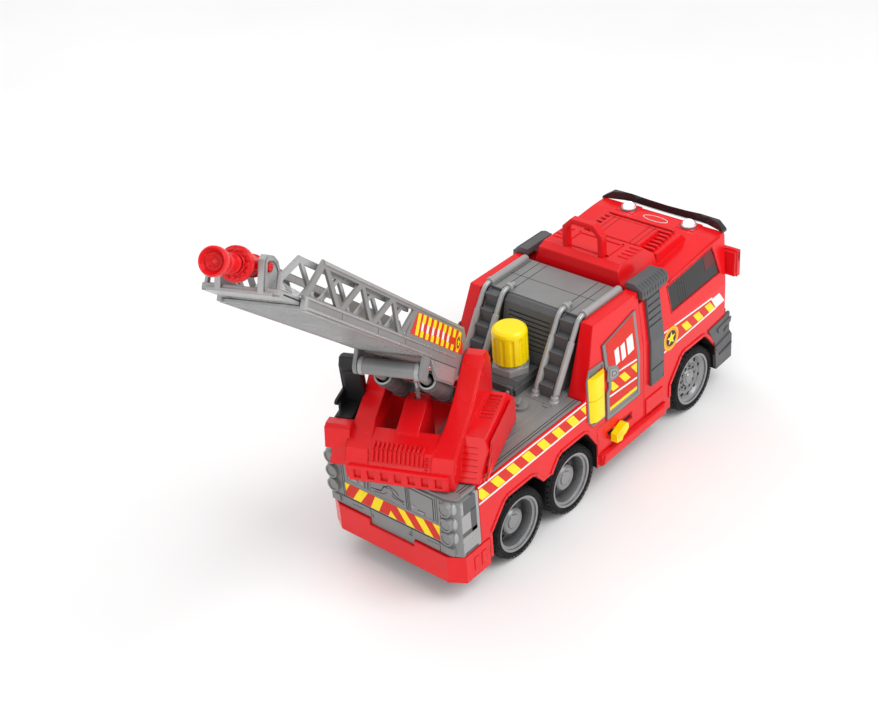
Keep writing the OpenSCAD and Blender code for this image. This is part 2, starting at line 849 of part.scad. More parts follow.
// Flatter disc with a ring of bolt heads
module front_rim() {
    difference() {
        union() {
            rotate_extrude($fn = 96)
                polygon([[0, 3.5], [5, 3.5], [5.6, 4.5], [8, 4.5], [9, 6], [13, 6], [15, 4.5], [18.5, 5.5],
                         [21, 3], [23, 2], [23, 0.4], [rim_r, 0], [rim_r + 0.5, 0.6], [rim_r + 0.5, 2.4],
                         [21.9, 2.9], [21.9, 20], [20, 20], [20, 9], [5, 9], [5, 20], [0, 20]]);
            for (k = [0 : 9]) rotate(k * 36) translate([11, 0, 4.2]) cylinder(r = 1.1, h = 3);
        }
        translate([0, 0, 5.9]) cylinder(r = axle_r, h = 20);
        for (k = [0 : 9]) rotate(k * 36 + 18) translate([17.4, 0, 0]) cylinder(r = 1.9, h = 12);
    }
}

// ---- Turret -----------------------------------------------------------------------------------------

// Side view of a cheek, from the lip over the raked front to the tower
module cheek_2d() {
    polygon([[52, turret_z], [52, 120], [47, 131], [27, 137], [-5, 150], [-30, 167], [-40, 172], [-50, 171],
             [-57, 160], [-58, turret_z]]);
}

module turret_base() {
    z0 = turret_z;
    on_turret()
        color(red)
            difference() {
                union() {
                    // Floor
                    block([-58, -42, z0], [53, 42, z0 + 4]);
                    block([-50, -64, z0], [36, 64, z0 + 4]);
                    // Neck in the deck
                    translate([0, 0, 84.2]) cylinder(r = 22, h = z0 - 84.2 + 2);
                    // Lip across the front
                    block([48, -41.3, z0 + 0.4], [55.5, 41.3, 119]);
                    // Bonnet between the cheeks
                    along_y(-27, 27)
                        polygon([[52, z0], [52, 119], [50, 121.5], [45.5, 132], [24, 136.5], [24, z0]]);
                    // Block between the cylinders
                    along_y(-9.3, 9.3)
                        polygon([[30, z0], [30, 135], [27, 137], [0, 150], [-10.5, 150], [-10.5, z0]]);
                    // Cheeks with tapered feet
                    both_sides() {
                        along_y(28.8, 45) cheek_2d();
                        intersection() {
                            along_y(20, 40) cheek_2d();
                            along_x(-58, 52) polygon([[25, z0], [26.4, 134], [28.9, 140], [32, 140], [32, z0]]);
                        }
                    }
                    // Rear wall
                    block([-58, -30, z0], [-55, 30, 134]);
                    side_box();
                    seat_platform();
                }
                // Notches in the lip
                for (i = [0 : 6])
                    translate([53.5, -37 + i * 11.2, 0]) block([0, 0, z0 + 3], [4, 5.6, 116]);
                // Hinge of the ladder and pivots of the cylinders
                y_rod(hinge_u, hinge_z, 3 + pin_gap, -42, 42);
                y_rod(foot_u, foot_z, 2.5 + pin_gap, -31.2, 31.2);
                // Hollow neck for the hose
                translate([0, 0, 80]) cylinder(r = 18, h = 28);
                translate([hose_u, 0, 80]) cylinder(r = 3, h = 90);
            }
}

// Louvred locker on the side away from the seat
module side_box() {
    z0 = turret_z;
    difference() {
        intersection() {
            along_y(44, 66) polygon([[41, z0], [22, 137], [-42, 137], [-49, 128], [-50, z0]]);
            along_x(-60, 60) polygon([[44, z0], [44, 137], [62, 137], [66, 128], [66, z0]]);
            linear_extrude(200) polygon([[60, 44], [41, 61], [24, 66.5], [-60, 66.5], [-60, 44]]);
        }
        for (i = [0 : 6]) translate([-36 + i * 5, 0, 0]) block([0, 49, 136], [1.6, 60, 140]);
    }
}

// Platform for the seat with its front board
module seat_platform() {
    z0 = turret_z;
    block([-48, -64, z0], [38, -44, z0 + 6]);
    along_y(-62, -44) polygon([[38, z0], [38, 125], [30, 127], [30, z0]]);
    along_y(-65.5, -44) polygon([[41, 123], [38, 140], [34, 142], [26, 142], [26, 125], [38, 121]]);
}

module operator_seat() {
    on_turret()
        color(black) {
            block([-14, -63, 111.2], [24, -46, 120]);
            block([-6, -64, 119.9], [24, -46, 138]);
            along_y(-63, -46) polygon([[-6, 130], [-2, 138], [2, 176], [-1, 182], [-6, 182], [-12, 138]]);
            block([-14, -63.9, 136], [10, -61.6, 150]);
        }
}

// Ring that holds the turret's neck under the deck
module turret_lock_ring() {
    on_turret()
        color(black)
            difference() {
                translate([0, 0, 79]) cylinder(r = 25, h = 4.8);
                translate([0, 0, 70]) cylinder(r = 17, h = 20);
            }
    on_turret()
        color(black)
            difference() {
                translate([0, 0, 82]) cylinder(r = 17.9, h = 13);
                translate([0, 0, 70]) cylinder(r = 16, h = 30);
            }
}

// ---- Ladder -----------------------------------------------------------------------------------------

// Places a child with x along the lifting cylinders, origin on their foot
module on_cylinders() {
    on_turret() translate([foot_u, 0, foot_z]) rotate([0, -cylinder_angle, 0]) children();
}

module lift_cylinders() {
    on_cylinders()
        color(dark_grey) {
            y_rod(0, 0, 6.5, -25.9, 25.9);
            y_rod(0, 0, 2.5, -31, 31);
            both_sides()
                translate([0, cylinder_v, 0])
                    rotate([0, 90, 0])
                        difference() {
                            union() {
                                cylinder(r = 7.4, h = 54);
                                translate([0, 0, 51.5]) cylinder(r = 7.9, h = 3.5);
                            }
                            translate([0, 0, 15]) cylinder(r = 6, h = 60);
                        }
        }
}

module lift_rods() {
    reach = norm([bar_u - foot_u, bar_z - foot_z]);
    on_cylinders()
        color(light_grey) {
            y_rod(reach, 0, 6.5, -24.6, 24.6);
            y_rod(reach, 0, 3, -27.9, 27.9);
            both_sides()
                translate([reach - 64, cylinder_v, 0]) rotate([0, 90, 0]) cylinder(r = 3.8, h = 64);
        }
}

// Side view of one ladder side: root plate, sticker panel, rails and truss
module ladder_side_2d() {
    top = truss_h;
    top_nodes = [328, 262, 198];
    low_nodes = [296, 234, 173];
    difference() {
        union() {
            polygon([[-9, -5], [-10, 0], [-8, 8], [3.5, 17.5], [18.6, top], [144, top], [160, 5.5],
                     [ladder_l, 5.5], [ladder_l - 4, -3], [98, -3], [75, -18], [28, -18], [20, -9]]);
            translate([140, top - 4.5]) square([333 - 140, 4.5]);
            bar_2d([333, top - 2.5], [ladder_l - 1, 4], 5.5);
            for (i = [0 : 2]) bar_2d([top_nodes[i], top - 3], [low_nodes[i], 3], 5);
            for (i = [0 : 1]) bar_2d([low_nodes[i], 3], [top_nodes[i + 1], top - 3], 5);
            bar_2d([low_nodes[2], 3], [149, top - 6], 5);
            translate([bar_a, bar_h]) circle(r = 7);
            translate([bar_a - 7, bar_h]) square([14, 14]);
        }
        circle(r = 3 - 0.01);
        translate([bar_a, bar_h]) circle(r = 3 + pin_gap);
    }
}

module ladder_frame() {
    on_ladder()
        color(light_grey) {
            both_sides() {
                intersection() {
                    along_y(26.2, ladder_w) ladder_side_2d();
                    block([-20, 20, -30], [400, 40, 40]);
                }
                // Thicker ears at the crossbar
                difference() {
                    along_y(24.9, 26.3) union() {
                        translate([bar_a, bar_h]) circle(r = 7);
                        translate([bar_a - 7, bar_h]) square([14, 14]);
                    }
                    y_rod(bar_a, bar_h, 3 + pin_gap, 20, 30);
                }
                // Guide for the inner ladder
                block([120, 24.9, 5.2], [350, 26.3, 6.6]);
            }
            // Ribbed floor
            difference() {
                block([14, -26.3, -3], [ladder_l - 4, 26.3, -1.2]);
                for (i = [0 : 23]) translate([40 + i * 13, 0, 0]) block([0, -19, -4], [5, 19, 0]);
            }
            // Cross brace at the root
            block([14, -26.3, -3], [24, 26.3, 4]);
        }
}

module ladder_pin() {
    on_turret() color(silver) y_rod(hinge_u, hinge_z, 3, -41.5, 41.5);
}

// Side view of one truss of the inner ladder
module inner_truss_2d() {
    top = truss_h - 2.5;
    top_nodes = [358, 294, 230, 166];
    low_nodes = [326, 262, 198];
    translate([150, top - 4]) square([212, 4]);
    bar_2d([361, top - 2.2], [inner_l - 2, 11], 4.4);
    translate([inner_l - 4, 0]) square([4, 13]);
    for (i = [0 : 2]) {
        bar_2d([top_nodes[i], top - 3], [low_nodes[i], 2], 3.6);
        bar_2d([low_nodes[i], 2], [top_nodes[i + 1], top - 3], 3.6);
    }
}

module inner_ladder() {
    on_ladder()
        color(silver) {
            both_sides() {
                block([126, 20.8, -0.8], [inner_l, 24.6, 3.4]);
                along_y(21.8, 23.6) inner_truss_2d();
                // Bracket for the nozzle
                difference() {
                    along_y(11.6, 15.4)
                        polygon([[366, 0], [368, 17], [373, 21.5], [380, 23.5], [390, 22.5], [393, 19], [388, 0]]);
                    y_rod(nozzle_a, nozzle_h, 2 + pin_gap, 10, 30);
                }
            }
            // Rungs, floor and front edge
            for (i = [0 : 18]) translate([128 + i * 13, 0, 0]) block([0, -21, -0.6], [4, 21, 2.4]);
            block([364, -21, -0.8], [388, 21, 1.2]);
            block([inner_l - 3, -24.6, -0.8], [inner_l, 24.6, 3.4]);
        }
}

inner_l = 385;
nozzle_a = 385;
nozzle_h = 16;
nozzle_tilt = 7;

module on_nozzle() {
    on_ladder() translate([nozzle_a, 0, nozzle_h]) rotate([0, nozzle_tilt, 0]) children();
}

module water_nozzle() {
    on_nozzle()
        color(red)
            rotate([0, 90, 0])
                difference() {
                    union() {
                        translate([0, 0, -14]) cylinder(r = 6.3, h = 24);
                        translate([0, 0, 9]) cylinder(r = 10.2, h = 4.5);
                        for (k = [0 : 7]) rotate(k * 45) translate([7.7, 0, 13]) cylinder(r = 1.2, h = 1.8);
                        translate([0, 0, 13]) cylinder(r = 5.2, h = 22);
                        // Cup at the mouth
                        translate([0, 0, 33.5])
                            rotate_extrude()
                                polygon([[0, 0], [5.2, 0], [7.2, 1.2], [8.3, 4], [8.3, 9], [7.4, 9.6], [6.2, 7.6],
                                         [3, 6.2], [0, 6.2]]);
                        // Trunnion boss
                        rotate([90, 0, 0]) translate([0, 0, -11.3]) cylinder(r = 4.2, h = 22.6);
                    }
                    translate([0, 0, -20]) cylinder(r = 1.6, h = 70);
                    both_sides() rotate([90, 0, 0]) translate([0, 0, 6]) cylinder(r = 1.99, h = 30);
                }
}

// Two stub pins, pressed into the nozzle's bosses
module nozzle_pins() {
    on_nozzle()
        color(red)
            both_sides() {
                y_rod(0, 0, 2, 6, 15.8);
                y_rod(0, 0, 3, 15.5, 16.6);
            }
}

// Clear hose from the turret's neck up to the root of the ladder
module turret_hose() {
    bend = 22;
    start = 158;
    lean = 50;
    centre = [hose_u + bend, start];
    end = centre + bend * [cos(180 - lean), sin(180 - lean)];
    route = concat([[hose_u, 114]], arc_points(centre, bend, 180, 180 - lean, 6),
                   [end + 5 * [sin(lean), cos(lean)]]);
    on_turret() color("#e8eef2") tube_along(route, 2, 16);
}

// The hose's straight run inside the inner ladder, up to the nozzle
module nozzle_hose() {
    on_ladder() color("#e8eef2") rod([132, 0, 5], [362, 0, 14], 2);
}

// ---- Dispatch ---------------------------------------------------------------------------------------

chassis_pan();
body_shell();
cab_shell();
cab_glazing();
sun_visor();
roof_lamp(1);  // roof_lamp_left
roof_lamp(-1);  // roof_lamp_right
mirror_piece(1);  // mirror_left
mirror_piece(-1);  // mirror_right
front_bumper();
headlamps();
stack(1);  // stack_left
stack(-1);  // stack_right
door_panel(1);  // door_left
door_panel(-1);  // door_right
canister_set(1);  // canisters_left
canister_set(-1);  // canisters_right
deck_plate();
stair_tower();
handrails(1);  // handrails_left
handrails(-1);  // handrails_right
pump_housing();
pump_collar();
pump_cylinder();
pump_spring();
water_tank();
tank_cap();
feed_hose();
ladder_rest();
rear_panel();
rear_bumper();
battery_cover();
batteries();
circuit_board();
speaker();
screws();
side_lever();
pump_knob();
pump_piston();
axle_rod(0);  // axle_front
axle_rod(1);  // axle_middle
axle_rod(2);  // axle_rear
tyre_pair(0);  // tyres_front
tyre_pair(1);  // tyres_middle
tyre_pair(2);  // tyres_rear
rim_pair(0, true);  // rims_front
rim_pair(1, false);  // rims_middle
rim_pair(2, false);  // rims_rear
turret_base();
operator_seat();
turret_lock_ring();
lift_cylinders();
lift_rods();
ladder_frame();
ladder_pin();
inner_ladder();
water_nozzle();
nozzle_pins();
turret_hose();
nozzle_hose();
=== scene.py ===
"""Looks of the toy fire engine: materials, stickers, trims, lights and the camera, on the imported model."""
import json
import math
import random

import bmesh
import bpy
from mathutils import Matrix, Vector


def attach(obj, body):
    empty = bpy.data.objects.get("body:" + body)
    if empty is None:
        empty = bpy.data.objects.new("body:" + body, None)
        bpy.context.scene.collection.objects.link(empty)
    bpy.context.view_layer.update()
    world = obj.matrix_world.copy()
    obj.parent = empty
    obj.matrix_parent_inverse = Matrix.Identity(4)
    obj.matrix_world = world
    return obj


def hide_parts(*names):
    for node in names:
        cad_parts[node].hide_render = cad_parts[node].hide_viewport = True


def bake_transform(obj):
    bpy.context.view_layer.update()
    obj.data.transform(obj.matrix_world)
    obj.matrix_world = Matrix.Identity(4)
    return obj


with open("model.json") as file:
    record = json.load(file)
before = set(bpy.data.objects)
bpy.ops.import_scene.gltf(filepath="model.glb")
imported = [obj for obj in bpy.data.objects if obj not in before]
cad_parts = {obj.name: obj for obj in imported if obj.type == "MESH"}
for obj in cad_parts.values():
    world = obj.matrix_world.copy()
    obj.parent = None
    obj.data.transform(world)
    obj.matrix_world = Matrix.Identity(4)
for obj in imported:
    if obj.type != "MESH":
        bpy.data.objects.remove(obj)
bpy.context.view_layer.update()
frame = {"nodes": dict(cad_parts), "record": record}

MM = 0.001

scene = bpy.context.scene
nodes_of = frame["nodes"]


# ---- Materials ---------------------------------------------------------------------------------------

class Graph:
    """A material's node tree with short calls for its nodes."""

    def __init__(self, name):
        self.material = bpy.data.materials.new(name)
        self.material.use_nodes = True
        self.tree = self.material.node_tree
        self.tree.nodes.clear()
        self.shader = self.add("ShaderNodeBsdfPrincipled")
        out = self.add("ShaderNodeOutputMaterial")
        self.tree.links.new(self.shader.outputs[0], out.inputs["Surface"])
        self.coords = self.add("ShaderNodeTexCoord").outputs["Object"]

    def add(self, kind, **settings):
        node = self.tree.nodes.new(kind)
        for key, value in settings.items():
            setattr(node, key, value)
        return node

    def link(self, source, target):
        self.tree.links.new(source, target)

    def noise(self, scale, detail=3.0, rough=0.55, stretch=None):
        node = self.add("ShaderNodeTexNoise")
        node.inputs["Scale"].default_value = scale
        node.inputs["Detail"].default_value = detail
        node.inputs["Roughness"].default_value = rough
        source = self.coords
        if stretch:
            mapping = self.add("ShaderNodeMapping")
            mapping.inputs["Scale"].default_value = stretch
            self.link(source, mapping.inputs["Vector"])
            source = mapping.outputs[0]
        self.link(source, node.inputs["Vector"])
        return node.outputs["Fac"]

    def ramp(self, value, low, high, to_low=0.0, to_high=1.0):
        node = self.add("ShaderNodeMapRange")
        node.clamp = True
        node.inputs["From Min"].default_value = low
        node.inputs["From Max"].default_value = high
        node.inputs["To Min"].default_value = to_low
        node.inputs["To Max"].default_value = to_high
        self.link(value, node.inputs["Value"])
        return node.outputs[0]

    def math(self, operation, a, b):
        node = self.add("ShaderNodeMath", operation=operation)
        for socket, value in zip(node.inputs, (a, b)):
            if isinstance(value, (int, float)):
                socket.default_value = value
            else:
                self.link(value, socket)
        return node.outputs[0]

    def mix(self, factor, a, b, blend="MIX"):
        node = self.add("ShaderNodeMix", data_type="RGBA", blend_type=blend)
        if isinstance(factor, (int, float)):
            node.inputs[0].default_value = factor
        else:
            self.link(factor, node.inputs[0])
        for socket, value in ((node.inputs[6], a), (node.inputs[7], b)):
            if isinstance(value, (tuple, list)):
                socket.default_value = (*value[:3], 1.0)
            else:
                self.link(value, socket)
        return node.outputs[2]

    def edge_mask(self, radius):
        """1 on sharp edges and 0 elsewhere, with the rounded normal it was read from."""
        bevel = self.add("ShaderNodeBevel", samples=4)
        bevel.inputs["Radius"].default_value = radius
        geometry = self.add("ShaderNodeNewGeometry")
        dot = self.add("ShaderNodeVectorMath", operation="DOT_PRODUCT")
        self.link(bevel.outputs[0], dot.inputs[0])
        self.link(geometry.outputs["Normal"], dot.inputs[1])
        return self.ramp(dot.outputs["Value"], 0.97, 0.75), bevel.outputs[0]

    def bump(self, height, strength, distance, normal=None):
        node = self.add("ShaderNodeBump")
        node.inputs["Strength"].default_value = strength
        node.inputs["Distance"].default_value = distance
        self.link(height, node.inputs["Height"])
        if normal is not None:
            self.link(normal, node.inputs["Normal"])
        return node.outputs[0]


def shade(colour, factor):
    return tuple(min(1.0, c * factor) for c in colour)


def moulded(name, colour, rough=0.3, vary=0.12, wear=0.25, grain_depth=0.00004, coat=0.0, metal=0.0,
            edge=0.0006, lighter=1.6, specular=0.3, hollow_shade=0.0):
    """Injection-moulded plastic: slow colour drift, fine grain, uneven gloss and paler worn edges."""
    g = Graph(name)
    drift = g.noise(22, 4)
    base = g.mix(g.ramp(drift, 0.3, 0.7), shade(colour, 1 - vary), shade(colour, 1 + vary))
    mask, normal = g.edge_mask(edge)
    patches = g.ramp(g.noise(160, 5, 0.7), 0.35, 0.65)
    worn = g.math("MULTIPLY", g.math("MULTIPLY", mask, patches), wear)
    top = tuple(min(1.0, c * lighter + 0.03) for c in colour)
    painted = g.mix(worn, base, top)
    # Painted shade: the colour darkens in hollows that ambient occlusion finds.
    if hollow_shade:
        hollow = g.add("ShaderNodeAmbientOcclusion", samples=8)
        hollow.inputs["Distance"].default_value = 0.012
        shadow = g.ramp(hollow.outputs["AO"], 0.35, 0.85, hollow_shade, 0.0)
        painted = g.mix(shadow, painted, shade(colour, 0.08))
    g.link(painted, g.shader.inputs["Base Color"])
    gloss = g.ramp(g.noise(70, 4, 0.6), 0.3, 0.7, rough * 0.8, rough * 1.25)
    g.link(gloss, g.shader.inputs["Roughness"])
    g.link(g.bump(g.noise(1400, 2), 0.35, grain_depth, normal), g.shader.inputs["Normal"])
    g.shader.inputs["Metallic"].default_value = metal
    g.shader.inputs["Coat Weight"].default_value = coat
    g.shader.inputs["Coat Roughness"].default_value = 0.12
    g.shader.inputs["Specular IOR Level"].default_value = specular
    return g.material


def tyre_material():
    g = Graph("tyre_rubber")
    dust = g.ramp(g.noise(60, 6, 0.65), 0.45, 0.75)
    g.link(g.mix(dust, (0.008, 0.008, 0.009), (0.02, 0.02, 0.021)), g.shader.inputs["Base Color"])
    g.link(g.ramp(g.noise(110, 4), 0.3, 0.7, 0.5, 0.72), g.shader.inputs["Roughness"])
    _, normal = g.edge_mask(0.0005)
    g.link(g.bump(g.noise(1800, 3), 0.5, 0.00006, normal), g.shader.inputs["Normal"])
    g.shader.inputs["Specular IOR Level"].default_value = 0.22
    return g.material


def steel_material(name, colour=(0.55, 0.55, 0.56), rough=0.28):
    g = Graph(name)
    lines = g.noise(900, 2, 0.5, stretch=(1.0, 0.05, 1.0))
    g.link(g.mix(g.ramp(lines, 0.3, 0.7), shade(colour, 0.82), shade(colour, 1.15)),
           g.shader.inputs["Base Color"])
    g.link(g.ramp(lines, 0.2, 0.8, rough * 0.7, rough * 1.4), g.shader.inputs["Roughness"])
    g.link(g.bump(lines, 0.2, 0.00003), g.shader.inputs["Normal"])
    g.shader.inputs["Metallic"].default_value = 1.0
    return g.material


def clear_material(name, colour=(0.9, 0.94, 0.96), rough=0.12, alpha=0.45):
    g = Graph(name)
    haze = g.ramp(g.noise(120, 4), 0.3, 0.7)
    g.link(g.mix(haze, shade(colour, 0.92), colour), g.shader.inputs["Base Color"])
    g.link(g.ramp(g.noise(200, 3), 0.3, 0.7, rough * 0.7, rough * 1.6), g.shader.inputs["Roughness"])
    g.link(g.bump(g.noise(500, 2), 0.15, 0.00004), g.shader.inputs["Normal"])
    g.shader.inputs["Transmission Weight"].default_value = 0.75
    g.shader.inputs["IOR"].default_value = 1.4
    g.shader.inputs["Alpha"].default_value = alpha
    return g.material


def board_material():
    g = Graph("green_board")
    tracks = g.add("ShaderNodeTexBrick")
    tracks.inputs["Scale"].default_value = 120
    tracks.inputs["Color1"].default_value = (0.03, 0.17, 0.07, 1)
    tracks.inputs["Color2"].default_value = (0.02, 0.13, 0.05, 1)
    tracks.inputs["Mortar"].default_value = (0.35, 0.3, 0.12, 1)
    tracks.inputs["Mortar Size"].default_value = 0.03
    g.link(g.coords, tracks.inputs["Vector"])
    g.link(g.mix(g.ramp(g.noise(90, 4), 0.3, 0.7, 0.0, 0.25), tracks.outputs["Color"], (0.02, 0.1, 0.04)),
           g.shader.inputs["Base Color"])
    g.link(g.ramp(g.noise(150, 3), 0.3, 0.7, 0.3, 0.5), g.shader.inputs["Roughness"])
    g.link(g.bump(tracks.outputs["Fac"], 0.4, 0.0001), g.shader.inputs["Normal"])
    return g.material


RED = (0.76, 0.006, 0.01)
MID_GREY = (0.235, 0.237, 0.235)
CHARCOAL = (0.095, 0.097, 0.101)
SILVER = (0.3, 0.304, 0.31)
BRIGHT_GREY = (0.36, 0.363, 0.363)
YELLOW = (1.0, 0.72, 0.0)
WHITE = (0.86, 0.86, 0.84)
BLACK = (0.014, 0.014, 0.016)

LOOKS = {
    "red_plastic": moulded("red_plastic", RED, rough=0.22, vary=0.05, wear=0.1, grain_depth=0.00002,
                           edge=0.0018, specular=0.34),
    "black_plastic": moulded("black_plastic", BLACK, rough=0.42, vary=0.25, wear=0.3, lighter=3.0),
    "dark_grey_plastic": moulded("dark_grey_plastic", CHARCOAL, rough=0.42, wear=0.35, lighter=2.0),
    "visor_plastic": moulded("visor_plastic", (0.02, 0.021, 0.023), rough=0.2, vary=0.2, wear=0.2, coat=0.3),
    "glazing": moulded("glazing", (0.01, 0.01, 0.011), rough=0.16, vary=0.2, wear=0.1, coat=0.1),
    "grey_plastic": moulded("grey_plastic", MID_GREY, rough=0.38, vary=0.08, wear=0.3, metal=0.15),
    "silver_plastic": moulded("silver_plastic", BRIGHT_GREY, rough=0.3, vary=0.08, wear=0.3, metal=0.35,
                              specular=0.5),
    # The rims get painted shade in their hollows.
    "rim_plastic": moulded("rim_plastic", SILVER, rough=0.3, vary=0.08, wear=0.25, metal=0.5, specular=0.5,
                           hollow_shade=0.85),
    "lamp_plastic": moulded("lamp_plastic", WHITE, rough=0.2, vary=0.05, wear=0.1, coat=0.4),
    "clear_lens": clear_material("clear_lens", alpha=0.8),
    "yellow_plastic": moulded("yellow_plastic", YELLOW, rough=0.3, vary=0.05, wear=0.15, coat=0.2),
    "white_plastic": moulded("white_plastic", WHITE, rough=0.4, vary=0.05, wear=0.1),
    "clear_hose": clear_material("clear_hose", rough=0.1, alpha=0.5),
    "spring_steel": steel_material("spring_steel"),
    "battery_can": steel_material("battery_can", (0.4, 0.42, 0.45), 0.35),
    "green_board": board_material(),
    "tyre_rubber": tyre_material(),
}

slot_of = {s["node"]: s["material_slot"] for s in frame["record"]["subparts"]}
for node, obj in nodes_of.items():
    look = LOOKS[slot_of[node]]
    for entry in obj.material_slots:
        entry.material = look
    if not obj.material_slots:
        obj.data.materials.append(look)


# ---- Shapes of the pieces made here ------------------------------------------------------------------

FOIL_LIFT, LAYER_LIFT = 0.10, 0.07
SIDE_Y = 71.5
WAIST_Z = 112.0
EAVES_Z = 158.0
EAVES_Y = 66.0


def wall_y(z):
    """Half width of the truck's side at height z, in mm."""
    lean = (SIDE_Y - EAVES_Y) / (EAVES_Z - WAIST_Z)
    return SIDE_Y if z < WAIST_Z else SIDE_Y - (z - WAIST_Z) * lean


def on_side(side, lift=0.0):
    """Maps (x, z) on the truck's side wall to the row frame, standing lift mm proud of the wall."""
    return lambda x, z: (x, side * (wall_y(z) + lift), z)


def make(name, mesh, looks, body="truck", thickness=0.0, bevel=0.0, smooth=False, segments=2):
    """Links a mesh in mm as a piece in metres that rides on a body, the truck unless another is named."""
    mesh.transform(Matrix.Scale(MM, 4))
    mesh.update()
    obj = bpy.data.objects.new(name, mesh)
    for look in looks if isinstance(looks, (list, tuple)) else [looks]:
        mesh.materials.append(look)
    scene.collection.objects.link(obj)
    if thickness:
        solid = obj.modifiers.new("thickness", "SOLIDIFY")
        solid.thickness = thickness * MM
        solid.offset = 0.0
    if bevel:
        round_off = obj.modifiers.new("rounding", "BEVEL")
        round_off.width = bevel * MM
        round_off.segments = segments
        round_off.limit_method = "ANGLE"
        round_off.angle_limit = math.radians(35)
        round_off.harden_normals = True
    for face in mesh.polygons:
        face.use_smooth = smooth or bool(bevel)
    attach(obj, body)
    return obj


def from_bmesh(name, bm, looks, body="truck", **settings):
    bmesh.ops.recalc_face_normals(bm, faces=bm.faces)
    mesh = bpy.data.meshes.new(name)
    bm.to_mesh(mesh)
    bm.free()
    return make(name, mesh, looks, body, **settings)


def decal(name, shapes, place, looks, body="truck", cuts=(), thickness=0.12):
    """Thin sheet sticker: shapes are (outline in (a, b), layer), each layer a little prouder, in its own look.

    place(lift of the layer)(a, b) gives the point in the row frame, and cuts are the heights b where the
    wall bends.
    """
    bm = bmesh.new()
    for outline, layer in shapes:
        verts = [bm.verts.new((a, b, 0.0)) for a, b in outline]
        part = [bm.faces.new(verts)]
        for cut in cuts:
            geometry = part + list({e for f in part for e in f.edges})
            geometry += list({v for f in part for v in f.verts})
            done = bmesh.ops.bisect_plane(bm, geom=geometry, plane_co=(0, cut, 0), plane_no=(0, 1, 0))
            part = [g for g in done["geom"] if isinstance(g, bmesh.types.BMFace)]
        for face in part:
            face.material_index = layer
        spot = place(FOIL_LIFT + LAYER_LIFT * layer)
        for v in {v for f in part for v in f.verts}:
            v.co = Vector(spot(v.co.x, v.co.y))
    return from_bmesh(name, bm, looks, body, thickness=thickness)


def slanted_blocks(first, count, pitch, width, slant, top, bottom, low=-1e9, high=1e9):
    """Row of leaning blocks between two heights, cut off at low and high."""
    blocks = []
    for i in range(count):
        a = first + i * pitch
        corners = [(a, top), (a + width, top), (a + width + slant, bottom), (a + slant, bottom)]
        clipped = clip(clip(corners, low, 1), high, -1)
        if len(clipped) > 2:
            blocks.append(clipped)
    return blocks


def clip(outline, limit, keep):
    """Cuts an outline at a = limit and keeps the side above it (keep 1) or below it (keep -1)."""
    kept = []
    for (a0, b0), (a1, b1) in zip(outline, outline[1:] + outline[:1]):
        inside0, inside1 = (a0 - limit) * keep >= 0, (a1 - limit) * keep >= 0
        if inside0:
            kept.append((a0, b0))
        if inside0 != inside1:
            t = (limit - a0) / (a1 - a0)
            kept.append((limit, b0 + t * (b1 - b0)))
    return kept


def box_mesh(bm, low, high):
    """Adds a box between two corners and returns its vertices."""
    made = bmesh.ops.create_cube(bm, size=1.0)["verts"]
    for v in made:
        v.co = Vector([low[k] + (v.co[k] + 0.5) * (high[k] - low[k]) for k in range(3)])
    return made


def prism(bm, outline, place_low, place_high):
    """Adds a closed prism between two placements of one outline."""
    low = [bm.verts.new(place_low(a, b)) for a, b in outline]
    high = [bm.verts.new(place_high(a, b)) for a, b in outline]
    bm.faces.new(low[::-1])
    bm.faces.new(high)
    count = len(outline)
    for i in range(count):
        n = (i + 1) % count
        bm.faces.new((low[i], low[n], high[n], high[i]))


def lathe(bm, profile, place, steps=48):
    """Adds a solid of revolution: profile is (radius, distance) pairs, place(x, y, d) gives the point."""
    rings = []
    for radius, d in profile:
        if radius < 1e-6:
            rings.append([bm.verts.new(place(0.0, 0.0, d))])
        else:
            rings.append([bm.verts.new(place(radius * math.cos(2 * math.pi * k / steps),
                                             radius * math.sin(2 * math.pi * k / steps), d))
                          for k in range(steps)])
    for a, b in zip(rings, rings[1:]):
        for k in range(steps):
            n = (k + 1) % steps
            corners = [a[k % len(a)], a[n % len(a)], b[n % len(b)], b[k % len(b)]]
            corners = [v for i, v in enumerate(corners) if v not in corners[:i]]
            if len(corners) > 2:
                bm.faces.new(corners)


SIDES = {"right": -1, "left": 1}

# ---- Stickers on the sides ---------------------------------------------------------------------------

def printed(name, colour, rough=0.35):
    """Printed foil: a flat ink with faint mottling and a soft sheen."""
    g = Graph(name)
    g.link(g.mix(g.ramp(g.noise(300, 3), 0.35, 0.65), shade(colour, 0.96), shade(colour, 1.04)),
           g.shader.inputs["Base Color"])
    g.link(g.ramp(g.noise(120, 3), 0.3, 0.7, rough * 0.85, rough * 1.2), g.shader.inputs["Roughness"])
    g.link(g.bump(g.noise(900, 2), 0.1, 0.00002), g.shader.inputs["Normal"])
    g.shader.inputs["Specular IOR Level"].default_value = 0.2
    return g.material


FOIL_RED = printed("foil_red", (0.66, 0.025, 0.014))
FOIL_WHITE = printed("foil_white", (0.86, 0.85, 0.83))
FOIL_YELLOW = printed("foil_yellow", (0.95, 0.72, 0.01))
FOIL_ORANGE = printed("foil_orange", (0.85, 0.3, 0.02))
FOIL_BLACK = printed("foil_black", (0.02, 0.02, 0.02))
FOILS = [FOIL_RED, FOIL_WHITE, FOIL_YELLOW, FOIL_ORANGE, FOIL_BLACK]
BASE, LINE, BLOCK, ORANGE, INK = range(5)


def strip(a0, b0, a1, b1, width):
    """Line of even height from (a0, b0) to (a1, b1)."""
    h = width / 2
    return [(a0, b0 - h), (a1, b1 - h), (a1, b1 + h), (a0, b0 + h)]


def disc(a, b, r, steps=32):
    return [(a + r * math.cos(2 * math.pi * k / steps), b + r * math.sin(2 * math.pi * k / steps))
            for k in range(steps)]


def star(a, b, outer, inner, points):
    return [(a + r * math.sin(math.pi * k / points), b + r * math.cos(math.pi * k / points))
            for k in range(2 * points) for r in [inner if k % 2 else outer]]


